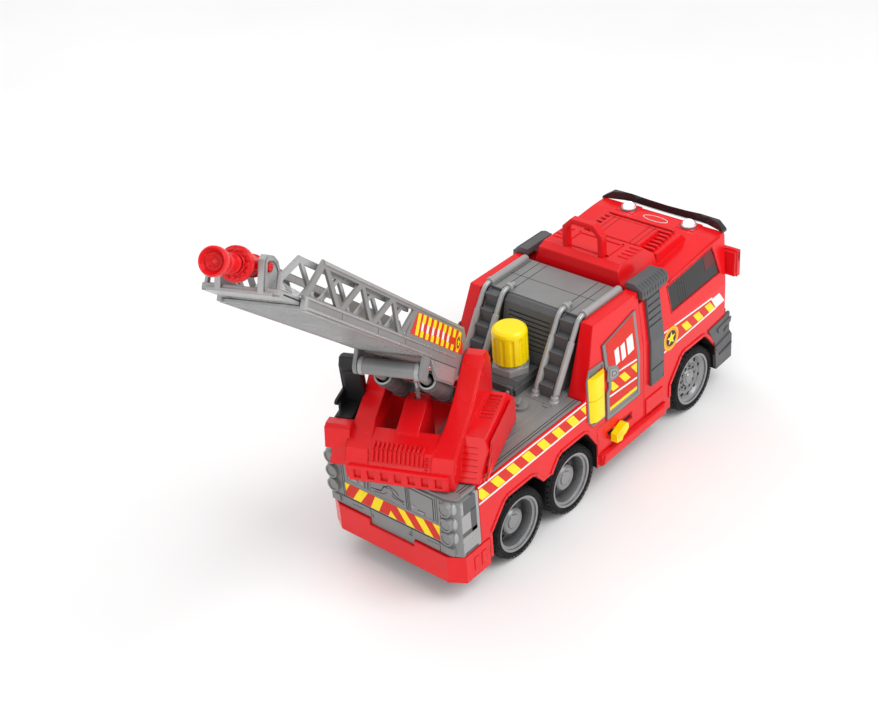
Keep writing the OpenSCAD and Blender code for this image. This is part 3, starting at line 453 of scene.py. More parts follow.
DOOR_STEP_Z = 110


def on_door(side, lift):
    """Maps (x, z) on the door, whose lower panel is sunk by 0.7 mm."""
    return lambda x, z: (x, side * (wall_y(z) + lift + (1.0 if z < DOOR_STEP_Z else 1.7)), z)


BADGE = (89.5, 99.5)
BADGE_RINGS = ((12.0, ORANGE), (10.8, BLOCK), (10.0, ORANGE), (7.6, INK))

for side_name, side in SIDES.items():
    body_band = [([(-181, 85.6), (-38.5, 87.4), (-38.5, 103.0), (-181, 103.0)], BASE),
                 (strip(-181, 102.2, -38.5, 102.2, 1.7), LINE), (strip(-181, 86.4, -38.5, 88.2, 1.7), LINE)]
    body_band += [(b, BLOCK) for b in slanted_blocks(-186.2, 8, 20.0, 9.4, 9.0, 100.2, 88.4, -180.5, -39)]
    decal(f"body_band_{side_name}", body_band, lambda lift: on_side(side, lift), FOILS)

    cab_band = [([(78.5, 89.5), (104, 88.4), (163, 93.2), (178.5, 94.7), (169.3, 106.9), (92, 111.0),
                  (78.5, 111.2)], BASE),
                ([(155.7, 106.4), (169.3, 106.9), (178.5, 94.7), (164.0, 93.4)], LINE),
                (strip(78.5, 110.4, 157, 107.4, 1.7), LINE), (strip(78.5, 89.8, 164, 93.8, 1.7), LINE)]
    cab_band += [(b, BLOCK) for b in slanted_blocks(106.1, 3, 19.2, 9.2, 8.4, 104.6, 94.4)]
    decal(f"cab_band_{side_name}", cab_band, lambda lift: on_side(side, lift), FOILS)

    badge = [(disc(*BADGE, radius), layer) for radius, layer in BADGE_RINGS]
    badge.append((star(*BADGE, 6.8, 2.9, 5), BLOCK))
    for i, (outline, layer) in enumerate(badge):
        decal(f"badge_{side_name}_{i}", [(outline, 0)], lambda lift: on_side(side, lift + 0.25 + 0.06 * i),
              [FOILS[layer]], thickness=0.05)

    door = [([(-6.2, 75.5), (35.2, 75.5), (35.2, 150.8), (-6.2, 142.5), (-6.2, 124), (-3, 116), (-3, 100),
              (-6.2, 96)], BASE),
            (strip(2, 110.0, 35.0, 106.6, 1.8), LINE), (strip(-5.8, 90.6, 35.0, 88.0, 1.8), LINE),
            ([(-5.8, 76.0), (34.9, 76.0), (34.9, 79.2), (-5.8, 79.2)], BLOCK)]
    door += [([(a, 117.0), (a + 6.0, 118.2), (a + 6.0, 132.4), (a, 131.0)], LINE) for a in (4.0, 13.0)]
    door += [([(22.0, 118.0), (31.0, 119.4), (31.0, 134.6), (22.0, 133.2)], LINE)]
    door += [(b, BLOCK) for b in slanted_blocks(-9.4, 3, 17.6, 8.4, 8.6, 103.8, 93.6, -5.9, 34.8)]
    decal(f"door_sheet_{side_name}", door, lambda lift: on_door(side, lift), FOILS,
          cuts=(DOOR_STEP_Z - 0.3, DOOR_STEP_Z + 0.3, WAIST_Z))


# ---- Shapes in the frames of the moving parts --------------------------------------------------------

TURRET_X = -166.0
TURN = math.radians(202.8)
LIFT = math.radians(38.6)
HINGE = (-43.0, 157.0)
NOZZLE_PIVOT = (385.0, 16.0)
NOZZLE_TIP = math.radians(7.0)
SUNK = -0.05    # a raised piece starts this far inside its wall


def on_turret(u, v, z):
    """Turret frame (u forward along the ladder, v to its left) to the row frame, in mm."""
    return (TURRET_X + u * math.cos(TURN) - v * math.sin(TURN), u * math.sin(TURN) + v * math.cos(TURN), z)


def on_ladder(l, v, n):
    """Ladder frame (l along it from the hinge, n square to its floor) to the row frame, in mm."""
    u = HINGE[0] + l * math.cos(LIFT) - n * math.sin(LIFT)
    z = HINGE[1] + l * math.sin(LIFT) + n * math.cos(LIFT)
    return on_turret(u, v, z)


def on_nozzle(l, v, n):
    """Nozzle frame (origin on its pivot, tipped down from the ladder) to the row frame, in mm."""
    along = NOZZLE_PIVOT[0] + l * math.cos(NOZZLE_TIP) + n * math.sin(NOZZLE_TIP)
    return on_ladder(along, v, NOZZLE_PIVOT[1] - l * math.sin(NOZZLE_TIP) + n * math.cos(NOZZLE_TIP))


def here(x, y, z):
    return (x, y, z)


def at_x(x):
    """Places a (y, z) outline on the plane at x."""
    return lambda y, z: (x, y, z)


def at_y(y):
    """Places an (x, z) outline on the plane at y."""
    return lambda x, z: (x, y, z)


def at_z(z, rise=0.0, start=0.0):
    """Places an (x, y) outline at height z, climbing by rise for each mm beyond x = start."""
    return lambda x, y: (x, y, z + (x - start) * rise)


def turret_plane(v):
    """Places a (u, z) outline on the turret's plane at v."""
    return lambda u, z: on_turret(u, v, z)


def ladder_plane(v):
    """Places an (l, n) outline on the ladder's plane at v."""
    return lambda l, n: on_ladder(l, v, n)


def upright(x, y, z):
    """Places a turned form on the vertical axis at (x, y), starting at z."""
    return lambda p, q, d: (x + p, y + q, z + d)


def boxes(name, corners, looks, body="truck", frame_of=here, bevel=0.25, segments=2):
    """One piece made of boxes between pairs of corners, placed by a frame's function."""
    bm = bmesh.new()
    for low, high in corners:
        for v in box_mesh(bm, [min(a, b) for a, b in zip(low, high)], [max(a, b) for a, b in zip(low, high)]):
            v.co = Vector(frame_of(*v.co))
    return from_bmesh(name, bm, looks, body, bevel=bevel, segments=segments)


def slabs(name, outlines, low, high, looks, body="truck", bevel=0.25, segments=2):
    """One piece made of prisms over outlines, from low(a, b) to high(a, b)."""
    bm = bmesh.new()
    for outline in outlines:
        prism(bm, outline, low, high)
    return from_bmesh(name, bm, looks, body, bevel=bevel, segments=segments)


def side_slabs(name, outlines, side, lift0, lift1, looks, body="truck", bevel=0.25, segments=2):
    """Slabs on the truck's side wall between two heights above it."""
    return slabs(name, outlines, on_side(side, lift0), on_side(side, lift1), looks, body, bevel, segments)


def turned(name, forms, looks, body="truck", steps=28, bevel=0.0, smooth=False):
    """One piece made of turned forms, each a profile and the function that places it."""
    bm = bmesh.new()
    for profile, place in forms:
        lathe(bm, profile, place, steps)
    return from_bmesh(name, bm, looks, body, bevel=bevel, smooth=smooth)


def ring_strip(outline, width):
    """The border of a convex outline as four-cornered strips of even width, running inside it."""
    count = len(outline)
    centre = (sum(a for a, _ in outline) / count, sum(b for _, b in outline) / count)
    inner = []
    for i in range(count):
        (a0, b0), (a1, b1), (a2, b2) = outline[i - 1], outline[i], outline[(i + 1) % count]
        d0, d1 = math.hypot(a1 - a0, b1 - b0), math.hypot(a2 - a1, b2 - b1)
        n0, n1 = ((b0 - b1) / d0, (a1 - a0) / d0), ((b1 - b2) / d1, (a2 - a1) / d1)
        if (centre[0] - a1) * n0[0] + (centre[1] - b1) * n0[1] < 0:
            n0, n1 = (-n0[0], -n0[1]), (-n1[0], -n1[1])
        scale = width / max(0.3, 1 + n0[0] * n1[0] + n0[1] * n1[1])
        inner.append((a1 + (n0[0] + n1[0]) * scale, b1 + (n0[1] + n1[1]) * scale))
    return [[outline[i], outline[(i + 1) % count], inner[(i + 1) % count], inner[i]] for i in range(count)]


def line(a0, b0, a1, b1, width=0.5):
    """Thin four-cornered strip of even width along a line."""
    length = math.hypot(a1 - a0, b1 - b0)
    na, nb = -(b1 - b0) / length * width / 2, (a1 - a0) / length * width / 2
    return [(a0 - na, b0 - nb), (a1 - na, b1 - nb), (a1 + na, b1 + nb), (a0 + na, b0 + nb)]


def path_lines(points, width=0.5):
    return [line(*p, *q, width) for p, q in zip(points, points[1:])]


def seams(name, strips, low, high, looks, body="truck"):
    """Dark parting lines, a hair proud of their wall."""
    return slabs(name, strips, low, high, looks, body, bevel=0.0)


# Dark grey for parting lines, also painted shade between the ladder's floor ribs.
SEAM_AND_SHADE_GREY = moulded("seam_and_shade_grey", (0.03, 0.03, 0.032), rough=0.6, vary=0.2, wear=0.0)
SEAM_RED = moulded("seam_red", (0.3, 0.004, 0.006), rough=0.5, vary=0.1, wear=0.0)
# Near-black for the wheel wells' liners, and painted shade in the lever's slot.
WELL_LINER_AND_SLOT_SHADE = moulded("well_liner_and_slot_shade", (0.008, 0.008, 0.009), rough=0.7, vary=0.3, wear=0.05, lighter=3.0)
RED_TRIM, GREY_TRIM, SILVER_TRIM = LOOKS["red_plastic"], LOOKS["grey_plastic"], LOOKS["silver_plastic"]
DARK_TRIM_AND_SHADE, BLACK_TRIM = LOOKS["dark_grey_plastic"], LOOKS["black_plastic"]
PALE_GREY = moulded("pale_grey", BRIGHT_GREY, rough=0.32, vary=0.06, wear=0.3, metal=0.2)

# ---- Rear panel --------------------------------------------------------------------------------------

REAR_X = -208.0
REAR_LAMPS_Z = (95.0, 80.5, 66.7)


def rear(lift):
    return lambda y, z: (REAR_X - lift, y, z)


hazard = [([(50.2, 72.3), (-22, 72.6), (-53, 74.3), (-51.8, 58.8), (49.9, 58.4)], BASE)]
hazard += [(outline, BLOCK) for outline in (
    [(50.2, 72.3), (44.5, 72.3), (50.0, 63.5)],
    [(33.4, 72.4), (24.2, 72.4), (33.8, 58.5), (42.5, 58.4)],
    [(16.2, 72.4), (7.0, 72.5), (13.6, 58.6), (22.7, 58.5)],
    [(-0.1, 65.5), (3.2, 58.6), (-6.2, 58.6)],
    [(-7.6, 72.5), (-15.6, 72.5), (-25.5, 58.7), (-16.7, 58.7)],
    [(-26.4, 72.9), (-35.6, 73.2), (-45.2, 58.8), (-36.2, 58.7)],
    [(-45.4, 73.7), (-52.9, 74.2), (-52.2, 63.8)])]
decal("rear_hazard_band", hazard, rear, FOILS)

doors = {"left": [(46.5, 76.4), (27.2, 76.2), (25.2, 99.5), (45.2, 99.5)],
         "middle": [(20.6, 75.6), (-18.6, 75.6), (-18.6, 99.5), (18.2, 99.5)],
         "right": [(-23.4, 76.0), (-46.8, 77.0), (-47.2, 98.0), (-23.4, 98.4)]}
for door_name, outline in doors.items():
    slabs(f"rear_door_{door_name}", [outline], rear(SUNK), rear(0.45), GREY_TRIM, bevel=0.3)
    seams(f"rear_door_seam_{door_name}", ring_strip(outline, -0.55), rear(SUNK), rear(0.12), SEAM_AND_SHADE_GREY)
seams("rear_uprights", [line(*ends, 0.6) for ends in ((24.2, 75.5, 22.2, 100), (-20.6, 75, -20.4, 100),
                                                      (-49.2, 76, -49.6, 100), (50.6, 58, 50.2, 100))]
      + [line(*ends, 0.4) for ends in ((22.8, 75.5, 20.8, 100), (-22.0, 75, -21.8, 100),
                                       (-54.6, 56, -54.6, 100))]
      + [line(*ends, 0.5) for ends in ((-51.2, 75.8, -51.6, 100), (52.6, 56, 52.4, 100))],
      rear(SUNK), rear(0.12), SEAM_AND_SHADE_GREY)
seams("rear_low_seam", [line(56, 56.9, -52, 57.2, 1.1), line(-52, 57.2, -59.5, 54.2, 0.8),
                        line(23.8, 56.4, 22.8, 48.6, 0.45), line(21.6, 51.5, 20.8, 48.6, 0.6),
                        line(-21.6, 56.6, -21.0, 48.8, 0.45), line(-19.4, 53, -19.2, 49.4, 0.6),
                        line(-21, 48.8, -17.5, 49.6, 0.4), line(44, 52.4, 32, 52.6, 0.4),
                        line(-38, 53.4, -50, 53.9, 0.4), line(-51.2, 58, -51.2, 45, 0.5)],
      rear(SUNK), rear(0.12), SEAM_AND_SHADE_GREY)
# Embossed hose reel, hasps and locks on the doors
emboss = path_lines([(19, 80.5), (8, 82.5), (4, 88.5), (-2, 87.5), (-8, 83.0), (-17, 81.5)], 0.7)
emboss += path_lines([(17, 78.2), (6, 79.8), (0, 84.5), (-6, 81.0), (-16.5, 78.6)], 0.5)
emboss += path_lines([(6, 86.5), (-1, 91.0), (-9, 88.5), (-11, 85.2)], 0.6)
seams("rear_emboss", emboss, rear(0.4), rear(0.62), SEAM_AND_SHADE_GREY)
slabs("rear_emboss_relief", [disc(-1.5, 85.4, 3.4, 20), [(14, 80.9), (8.5, 81.6), (8.5, 79.9), (14, 79.2)],
                             [(-9, 81.4), (-15, 80.3), (-15, 78.9), (-9, 79.9)]],
      rear(0.3), rear(0.95), GREY_TRIM)
slabs("rear_hasps", [[(40.5, 80.4), (34.5, 80.6), (34.5, 79.0), (40.5, 78.8)], disc(29, 80.8, 1.3, 14),
                     [(-31.6, 80.0), (-37.9, 80.2), (-37.9, 78.6), (-31.6, 78.4)],
                     disc(-26.6, 82.0, 1.3, 14)],
      rear(0.3), rear(1.1), PALE_GREY)
seams("rear_hasp_seams", ring_strip([(41.2, 81.0), (33.8, 81.2), (33.8, 78.4), (41.2, 78.2)], 0.35)
      + ring_strip([(-30.9, 80.7), (-38.6, 80.9), (-38.6, 77.9), (-30.9, 77.7)], 0.35),
      rear(0.3), rear(0.5), SEAM_AND_SHADE_GREY)

for side_name, side in SIDES.items():
    bm = bmesh.new()
    for lamp_z in REAR_LAMPS_Z:
        lathe(bm, [(4.4, 3.3), (4.4, 3.0), (3.4, 2.7), (2.0, 2.9), (0.0, 3.1)],
              lambda p, q, d: (REAR_X - d, side * 61.5 + p, lamp_z + q), 24)
    from_bmesh(f"rear_lamp_faces_{side_name}", bm, [DARK_TRIM_AND_SHADE], smooth=True)
    bm = bmesh.new()
    for lamp_z in REAR_LAMPS_Z:
        lathe(bm, [(0.0, 5.6), (2.4, 5.2), (4.3, 3.9), (5.2, 2.0), (5.4, 0.0), (5.4, -1.5), (0.0, -1.5)],
              lambda p, q, d: (-204.4 + p * 0.75 - 0.4 * d, side * (66.0 + d * 0.62), lamp_z + q), 28)
    lathe(bm, [(0.0, 3.6), (2.0, 3.2), (3.4, 1.9), (3.9, 0.0), (0.0, 0.0)],
          lambda p, q, d: (-206.0 - d * 0.5 + p * 0.5, side * (63.5 + d * 0.5), 54.0 + q * 0.9), 24)
    from_bmesh(f"rear_lamp_domes_{side_name}", bm, [PALE_GREY], smooth=True)
    # Dark boxes as painted shade in the recess between the panel and the body, and on the step-shaped face
    # beside it
    boxes(f"rear_recess_shade_{side_name}", [((-190.4, side * 64, 47.8), (-181.4, side * 70.6, 100.6)),
                                       ((-199.4, side * 70.4, 87.0), (-184.6, side * 71.5, 100.4)),
                                       ((-191.2, side * 70.4, 66.0), (-184.6, side * 71.5, 88.0)),
                                       ((-202.0, side * 70.4, 66.2), (-184.6, side * 71.5, 70.0)),
                                       ((-200.0, side * 70.4, 47.8), (-184.6, side * 71.5, 50.0))],
          DARK_TRIM_AND_SHADE, bevel=0.15)
    boxes(f"rear_edge_strip_{side_name}", [((-185.6, side * 68.4, 47.8), (-181.2, side * 71.45, 100.8))],
          PALE_GREY, bevel=0.4)
    boxes(f"rear_step_faces_{side_name}", [((-202.6, side * 70.6, 88.4), (-199.6, side * 71.6, 99.0)),
                                           ((-202.6, side * 70.6, 70.4), (-191.6, side * 71.7, 86.4)),
                                           ((-202.6, side * 70.6, 50.4), (-185.4, side * 71.7, 65.6))],
          SILVER_TRIM, bevel=0.4)
    # Insets on the bumper's corner
    insets = [((x, side * 71.8, 27), (x + 6, side * 72.6, 40)) for x in (-192, -183)]
    boxes(f"rear_bumper_insets_{side_name}", insets, RED_TRIM, bevel=0.4)

# ---- Sides -------------------------------------------------------------------------------------------

AXLES = {"front": 131.3, "middle": -57.9, "rear": -130.0}
HUB_Z = 32.0
RING_Y = 68.8
WELL_Y = 45


def open_strip(path, width):
    """Border of even width on the outer side of an open path that runs clockwise over an arch."""
    strips = []
    outer = []
    for i, (a, b) in enumerate(path):
        a0, b0 = path[max(i - 1, 0)]
        a2, b2 = path[min(i + 1, len(path) - 1)]
        length = math.hypot(a2 - a0, b2 - b0)
        outer.append((a - (b2 - b0) / length * width, b + (a2 - a0) / length * width))
    for i in range(len(path) - 1):
        strips.append([path[i], path[i + 1], outer[i + 1], outer[i]])
    return strips


# Tops of the wheel openings. The two rear wheels share one liner, and feet are added where a piece needs them
rear_top = [(-167.5, 50), (-150, 70), (-146, 72), (-114, 72), (-110, 70)]
middle_top = [(-77.9, 70), (-73.9, 72), (-41.9, 72), (-37.9, 70), (-24.4, 50)]
front_top = [(89.3, 50), (107.3, 71), (111.3, 73), (143.3, 73), (147.3, 71)]
rear_liner = [(-167.5, 26)] + rear_top + [(-99.5, 58), (-88, 58)] + middle_top + [(-24.4, 26)]
front_liner = [(89.3, 26)] + front_top + [(165.3, 50), (165.3, 26)]
CANISTER_FRAME = [(-31.4, 129.6), (-11.4, 128.9), (-12.6, 73.9), (-30.5, 73.7), (-36.6, 81.2), (-36.6, 120)]
LATCH = [(-7.2, 121.6), (3.8, 117.9), (7.3, 113.2), (7.0, 106.3), (-0.4, 105.2), (-10.0, 107.8)]
LATCH_RELIEF = [(-5.4, 118.0), (2.6, 115.4), (4.6, 112.4), (4.4, 108.6), (-0.6, 107.6), (-6.8, 109.8)]
LATCH_SEAM = [(-3.6, 115.8), (1.4, 114.0), (2.6, 111.8), (2.4, 110.2), (-1.0, 109.5), (-4.4, 111.2)]
DOOR_GAP = [(-10.4, 142.4), (-10.4, 122.0), (-7.6, 116.0), (-7.6, 100.0), (-10.4, 96.0), (-10.4, 67.9),
            (39.5, 67.9), (39.5, 152.4), (-10.4, 142.4)]
SILL = [(-19.5, 26.2), (78.5, 26.2), (75.5, 37.2), (-17.0, 37.2)]
SILL_MIDDLE_Z = 31.5
SIDE_SEAMS = [line(46.9, 39, 46.9, 157, 0.5), line(41.8, 68, 41.8, 152, 0.35), line(-20, 38.2, 78, 38.2, 0.5),
              line(-20.5, 38, -23.8, 66, 0.4), line(-22, 66.4, 46, 66.4, 0.4),
              line(-38.6, 84, -33.8, 78.5, 0.4)]
REAR_LIPS = open_strip(rear_top + [(-99.5, 58.4)], 3.2)
REAR_LIPS += open_strip([(-88, 58.4)] + middle_top + [(-24.4, 38)], 3.2)
FRONT_LIP = open_strip([(89.3, 38)] + front_top + [(160, 57)], 3.6)
WINDOW = [(92.0, 123.0), (89.0, 150.9), (163.9, 156.4), (173.2, 125.6)]
WINDOW_SEAT = [(148, 153.2), (162, 154.4), (167.6, 139), (150.6, 137.5)]
WINDOW_BARS = [line(106 + i * 3.2, 151.2, 108.2 + i * 3.2, 125.6, 0.55) for i in range(4)]
TINT_BAR = moulded("tint_bar", (0.05, 0.05, 0.052), rough=0.25, vary=0.1, wear=0.0)
TINT_SEAT = moulded("tint_seat", (0.11, 0.006, 0.008), rough=0.25, vary=0.2, wear=0.0)
PANE = -0.7
STACK_SLITS = [line(56, z, 74, z + 1.2, 0.8) for z in (84, 128, 134.5, 141, 147.5, 154)]

# Pieces on both side walls: name, outlines over (x, z), height above the wall from and to, look, rounding
SIDE_PIECES = [
    ("arch_lips_rear", REAR_LIPS, SUNK, 0.9, RED_TRIM, 0.5),
    ("arch_lips_front", FRONT_LIP, SUNK, 1.1, RED_TRIM, 0.6),
    ("canister_frame", ring_strip(CANISTER_FRAME, 1.7), SUNK, 1.5, GREY_TRIM, 0.4),
    ("canister_back", [CANISTER_FRAME], SUNK, 0.35, GREY_TRIM, 0.1),
    ("latch_plate", [LATCH], 0.8, 2.3, GREY_TRIM, 0.5),
    ("latch_relief", [LATCH_RELIEF], 2.1, 2.9, PALE_GREY, 0.4),
    ("latch_seams", ring_strip(LATCH_SEAM, 0.5), 2.7, 2.98, SEAM_AND_SHADE_GREY, 0.0),
    ("door_gap", path_lines(DOOR_GAP, 0.7), SUNK, 0.3, SEAM_RED, 0.0),
    ("side_seams", SIDE_SEAMS, SUNK, 0.1, SEAM_RED, 0.0),
    ("cab_steps", [[(49, 56), (76, 56), (79, 52), (79, 40), (49, 40)]], SUNK, 1.2, RED_TRIM, 0.8),
    ("window_bars", WINDOW_BARS, PANE, PANE + 0.28, TINT_BAR, 0.0),
    ("window_seat", [WINDOW_SEAT], PANE, PANE + 0.24, TINT_SEAT, 0.0),
    ("window_rim", ring_strip(WINDOW, 1.1), SUNK, 0.45, RED_TRIM, 0.2),
    ("stack_edge", [line(x, 69, x, 156, 0.9) for x in (55.6, 74.4)], 2.4, 3.1, DARK_TRIM_AND_SHADE, 0.3),
    ("stack_seams", STACK_SLITS, 2.5, 2.74, BLACK_TRIM, 0.0)]

for side_name, side in SIDES.items():
    bm = bmesh.new()
    for path in (rear_liner, front_liner):
        for strip_outline in open_strip(path, 0.8):
            prism(bm, strip_outline, at_y(side * WELL_Y), at_y(side * 71.2))
        # Inner wall of the well
        prism(bm, path, at_y(side * (WELL_Y - 0.8)), at_y(side * (WELL_Y - 0.1)))
    from_bmesh(f"wheel_wells_{side_name}", bm, WELL_LINER_AND_SLOT_SHADE)
    for name, outlines, lift0, lift1, look, rounding in SIDE_PIECES:
        side_slabs(f"{name}_{side_name}", outlines, side, lift0, lift1, look, bevel=rounding)
    # Sill, whose outer face is smaller than its foot
    slabs(f"sill_face_{side_name}", [SILL], at_y(side * 73.95),
          lambda x, z: (x * 0.985 + 0.4, side * 75.4, SILL_MIDDLE_Z + (z - SILL_MIDDLE_Z) * 0.72),
          RED_TRIM, bevel=0.5)

# Slot of the lever, with a black sheet in it as painted shade
seams("lever_slot_shade", [[(-8, 49.6), (27, 49.6), (27, 54.4), (-8, 54.4)]], at_y(-70.4), at_y(-70.0),
      WELL_LINER_AND_SLOT_SHADE)
side_slabs("lever_slot_rim", ring_strip([(-9.4, 48.2), (28.6, 48.2), (28.6, 55.8), (-9.4, 55.8)], 1.0),
           SIDES["right"], SUNK, 0.55, RED_TRIM, bevel=0.25)
boxes("lever_grip_ridges", [((x, -78.6, 45.5 + 0.4 * abs(x)), (x + 0.8, -79.0, 53.5))
                            for x in (-3.4, -1.4, 0.6, 2.6)],
      LOOKS["yellow_plastic"], "lever", bevel=0.2)

# ---- Exhaust stacks ----------------------------------------------------------------------------------

CAP_Y, CAP_Z = 62.4, 162.0


def cap_outline(side, radius):
    """Outline (y, z) of a rounded cap over the eaves."""
    arc = [math.radians(a) for a in range(-20, 165, 12)]
    outline = [(CAP_Y + radius * math.cos(a), CAP_Z + radius * math.sin(a)) for a in arc]
    outline += [(CAP_Y - 3.0, CAP_Z - 1.0), (CAP_Y + 3.0, CAP_Z - 4.5)]
    return [(side * y, z) for y, z in outline]


for side_name, side in SIDES.items():
    bm = bmesh.new()
    prism(bm, cap_outline(side, 7.4), at_x(49), at_x(88))
    for i in range(9):
        rib_x = 51.0 + i * 4.1
        prism(bm, cap_outline(side, 8.2), at_x(rib_x), at_x(rib_x + 2.2))
    from_bmesh(f"stack_cap_{side_name}", bm, DARK_TRIM_AND_SHADE, bevel=0.5)

# ---- Wheels ------------------------------------------------------------------------------------------

MARKS, MARK_RADIUS = 44, 28.6
MARK = [(-0.55, -0.8), (0.55, -0.8), (0.55, 0.8), (-0.55, 0.8)]


def on_tyre(axle_x, side, out):
    """Places an outline about the hub on a tyre's sidewall, standing out mm proud of it."""
    return lambda p, q, d=0.0: (axle_x + p, side * (RING_Y + out + d), HUB_Z + q)


for axle_name, axle_x in AXLES.items():
    for side_name, side in SIDES.items():
        bm = bmesh.new()
        for k in range(MARKS):
            corners = []
            for along, outward in MARK:
                r = MARK_RADIUS + outward
                t = 2 * math.pi * k / MARKS + along / MARK_RADIUS
                corners.append((r * math.cos(t), r * math.sin(t)))
            prism(bm, corners, on_tyre(axle_x, side, 0.3), on_tyre(axle_x, side, 0.8))
        # Raised moulding rings on the sidewall
        for radius in (26.6, 30.2):
            inner, outer = radius - 0.25, radius + 0.25
            profile = [(inner, 0.2), (inner, 0.62), (outer, 0.62), (outer, 0.2)]
            lathe(bm, profile, on_tyre(axle_x, side, 0.0), 72)
        from_bmesh(f"tyre_marks_{axle_name}_{side_name}", bm, LOOKS["tyre_rubber"], f"wheels_{axle_name}")

# ---- Turret ------------------------------------------------------------------------------------------

# Dark red that is painted shade in the turret's wells.
WELL_SHADE_RED = moulded("painted_well_shade_red", (0.34, 0.006, 0.008), rough=0.35, vary=0.1, wear=0.05)
BONNET_LIP_Z = 119.0
BONNET_RAKE = 0.44
RIB_WIDTH, RIB_RISE = 2.1, 2.1


def t_slabs(name, outlines, v0, v1, looks, body="turret", bevel=0.25):
    """Slabs over (u, z) outlines between two v stations of the turret."""
    return slabs(name, outlines, turret_plane(v0), turret_plane(v1), looks, body, bevel)


def bonnet_point(s):
    """Point and outward normal (u, z) at distance s along the bonnet's front, from the lip upwards."""
    path = [(52.0, BONNET_LIP_Z), (50.0, 121.5), (45.5, 132.0), (24.0, 136.5)]
    for (u0, z0), (u1, z1) in zip(path, path[1:]):
        length = math.hypot(u1 - u0, z1 - z0)
        if s <= length:
            t = s / length
            return (u0 + (u1 - u0) * t, z0 + (z1 - z0) * t), ((z1 - z0) / length, -(u1 - u0) / length)
        s -= length
    return path[-1], (0.2, 0.98)


def off_bonnet(samples, lift):
    """The sampled points, moved lift mm along their normals."""
    return [(point[0] + lift * normal[0], point[1] + lift * normal[1]) for point, normal in samples]


# Ribs that wrap the bonnet's top edge
bm = bmesh.new()
for i in range(12):
    v = -23.2 + i * 3.7
    for start, stop in ((3.6, 14.2), (14.6, 21.0)):
        samples = [bonnet_point(start + (stop - start) * k / 6) for k in range(7)]
        outline = off_bonnet(samples, -0.3) + off_bonnet(samples, RIB_RISE)[::-1]
        prism(bm, outline, turret_plane(v), turret_plane(v + RIB_WIDTH))
from_bmesh("bonnet_ribs", bm, RED_TRIM, "turret", bevel=0.55, segments=3)

# Dashes beside the ribs, dots on the cheek and thin lines on the locker's top
dashes = []
for i in range(5):
    dash_z = 120.5 + i * 2.1
    back = BONNET_RAKE * (dash_z - BONNET_LIP_Z)
    dashes.append(((51.6 - back, 20.9, dash_z), (53.0 - back, 23.4, dash_z + 0.9)))
boxes("bonnet_dashes", dashes, RED_TRIM, "turret", on_turret, bevel=0.2)
bm = bmesh.new()
for u, z in ((-36, 164), (-33, 158), (46, 128.5), (44.0, 123.5)):
    lathe(bm, [(1.3, -0.3), (1.3, 0.5), (0.9, 0.8), (0.0, 0.9)],
          lambda p, q, d: on_turret(u + p, 45 + d, z + q), 20)
from_bmesh("cheek_dots", bm, RED_TRIM, "turret")

# Louvred locker: stepped contour, dashes and grooves
contour = [(38.5, 107.5), (21.0, 134.2), (-39.5, 134.2), (-46.5, 126.5), (-47.5, 107.5)]
boxes("locker_top_ribs", [((-38 + i * 4.6, 49.5, 136.7), (-36.4 + i * 4.6, 59.5, 137.8)) for i in range(5)],
      RED_TRIM, "turret", on_turret, bevel=0.4)
t_slabs("locker_face", [contour], 66.1, 67.3, RED_TRIM, bevel=0.9)
seams("locker_contour_lines", path_lines([(36, 121), (24, 126), (20.5, 131)], 0.5)
      + path_lines([(36, 112), (27, 116.5), (23.5, 121)], 0.4),
      turret_plane(66.4), turret_plane(67.6), SEAM_RED, "turret")
# Grooved lines over the locker's sloping front
bm = bmesh.new()
for i in range(6):
    t = 0.12 + i * 0.13
    u, z = 41 - 19 * t, 105.5 + 31.5 * t
    for v in box_mesh(bm, (-0.35, 46.0, -0.5), (0.35, 59.0 - 2 * t, 0.7)):
        v.co = Vector(on_turret(u + v.co.x + v.co.z * 0.85, v.co.y, z + v.co.z * 0.5))
from_bmesh("locker_front_ribs", bm, RED_TRIM, "turret", bevel=0.2)

# Rounded rail on the lip, and dark red sheets that paint the shade in the wells between the cheeks and the
# middle block
boxes("lip_rail", [((51.5, -41.2, 116.8), (56.2, 41.2, 119.4))], RED_TRIM, "turret", on_turret, bevel=0.8)
boxes("turret_well_shade", [((26.0, v0, 109.6), (45.0, v1, 110.2)) for v0, v1 in ((-27, -9.8), (9.8, 27))],
      WELL_SHADE_RED, "turret", on_turret, bevel=0.0)
boxes("turret_well_floor_shade", [((-50.0, v0, 109.5), (23.6, v1, 110.0)) for v0, v1 in ((-28, -9.8), (9.8, 28))],
      WELL_SHADE_RED, "turret", on_turret, bevel=0.0)
# Cheek edges: a raised rim follows the raked front of both cheeks
CHEEK_FRONT = [(50.5, 119), (46, 130), (26.5, 135.6), (-5.6, 148.4), (-30.5, 165.2), (-40, 169.6)]
for v0, v1, tag in ((43.6, 46.2, "left"), (-46.2, -43.6, "right")):
    t_slabs(f"cheek_rim_{tag}", path_lines(CHEEK_FRONT, 1.7), v0, v1, RED_TRIM, bevel=0.5)

# ---- Operator's seat ---------------------------------------------------------------------------------

SEAT_BACK = [(-3.5, 142), (-0.6, 142), (3.6, 171), (0.8, 173.5)]
HEADREST = [(-7.5, 171), (2.5, 170), (4.8, 176), (1.2, 184.0), (-5.6, 184.0), (-8.4, 178)]
ARMREST = [(-10, 148.6), (16, 146.6), (18, 149.4), (15, 151.4), (-10, 152.2)]
boxes("seat_cushions", [((-12, -62.4, 119.8), (22, -47, 122.6)), ((-3.5, -62.0, 137.8), (22.5, -48, 140.6)),
                        ((20, -63.4, 113), (25.2, -45.6, 131.5))], BLACK_TRIM, "turret", on_turret, bevel=1.0)
t_slabs("seat_back_pads", [SEAT_BACK], -60.5, -44.5, BLACK_TRIM, bevel=0.9)
t_slabs("seat_headrest", [HEADREST], -61.6, -43.0, BLACK_TRIM, bevel=1.4)
t_slabs("seat_armrest", [ARMREST], -64.2, -61.2, BLACK_TRIM, bevel=0.8)

# ---- Lifting cylinders -------------------------------------------------------------------------------

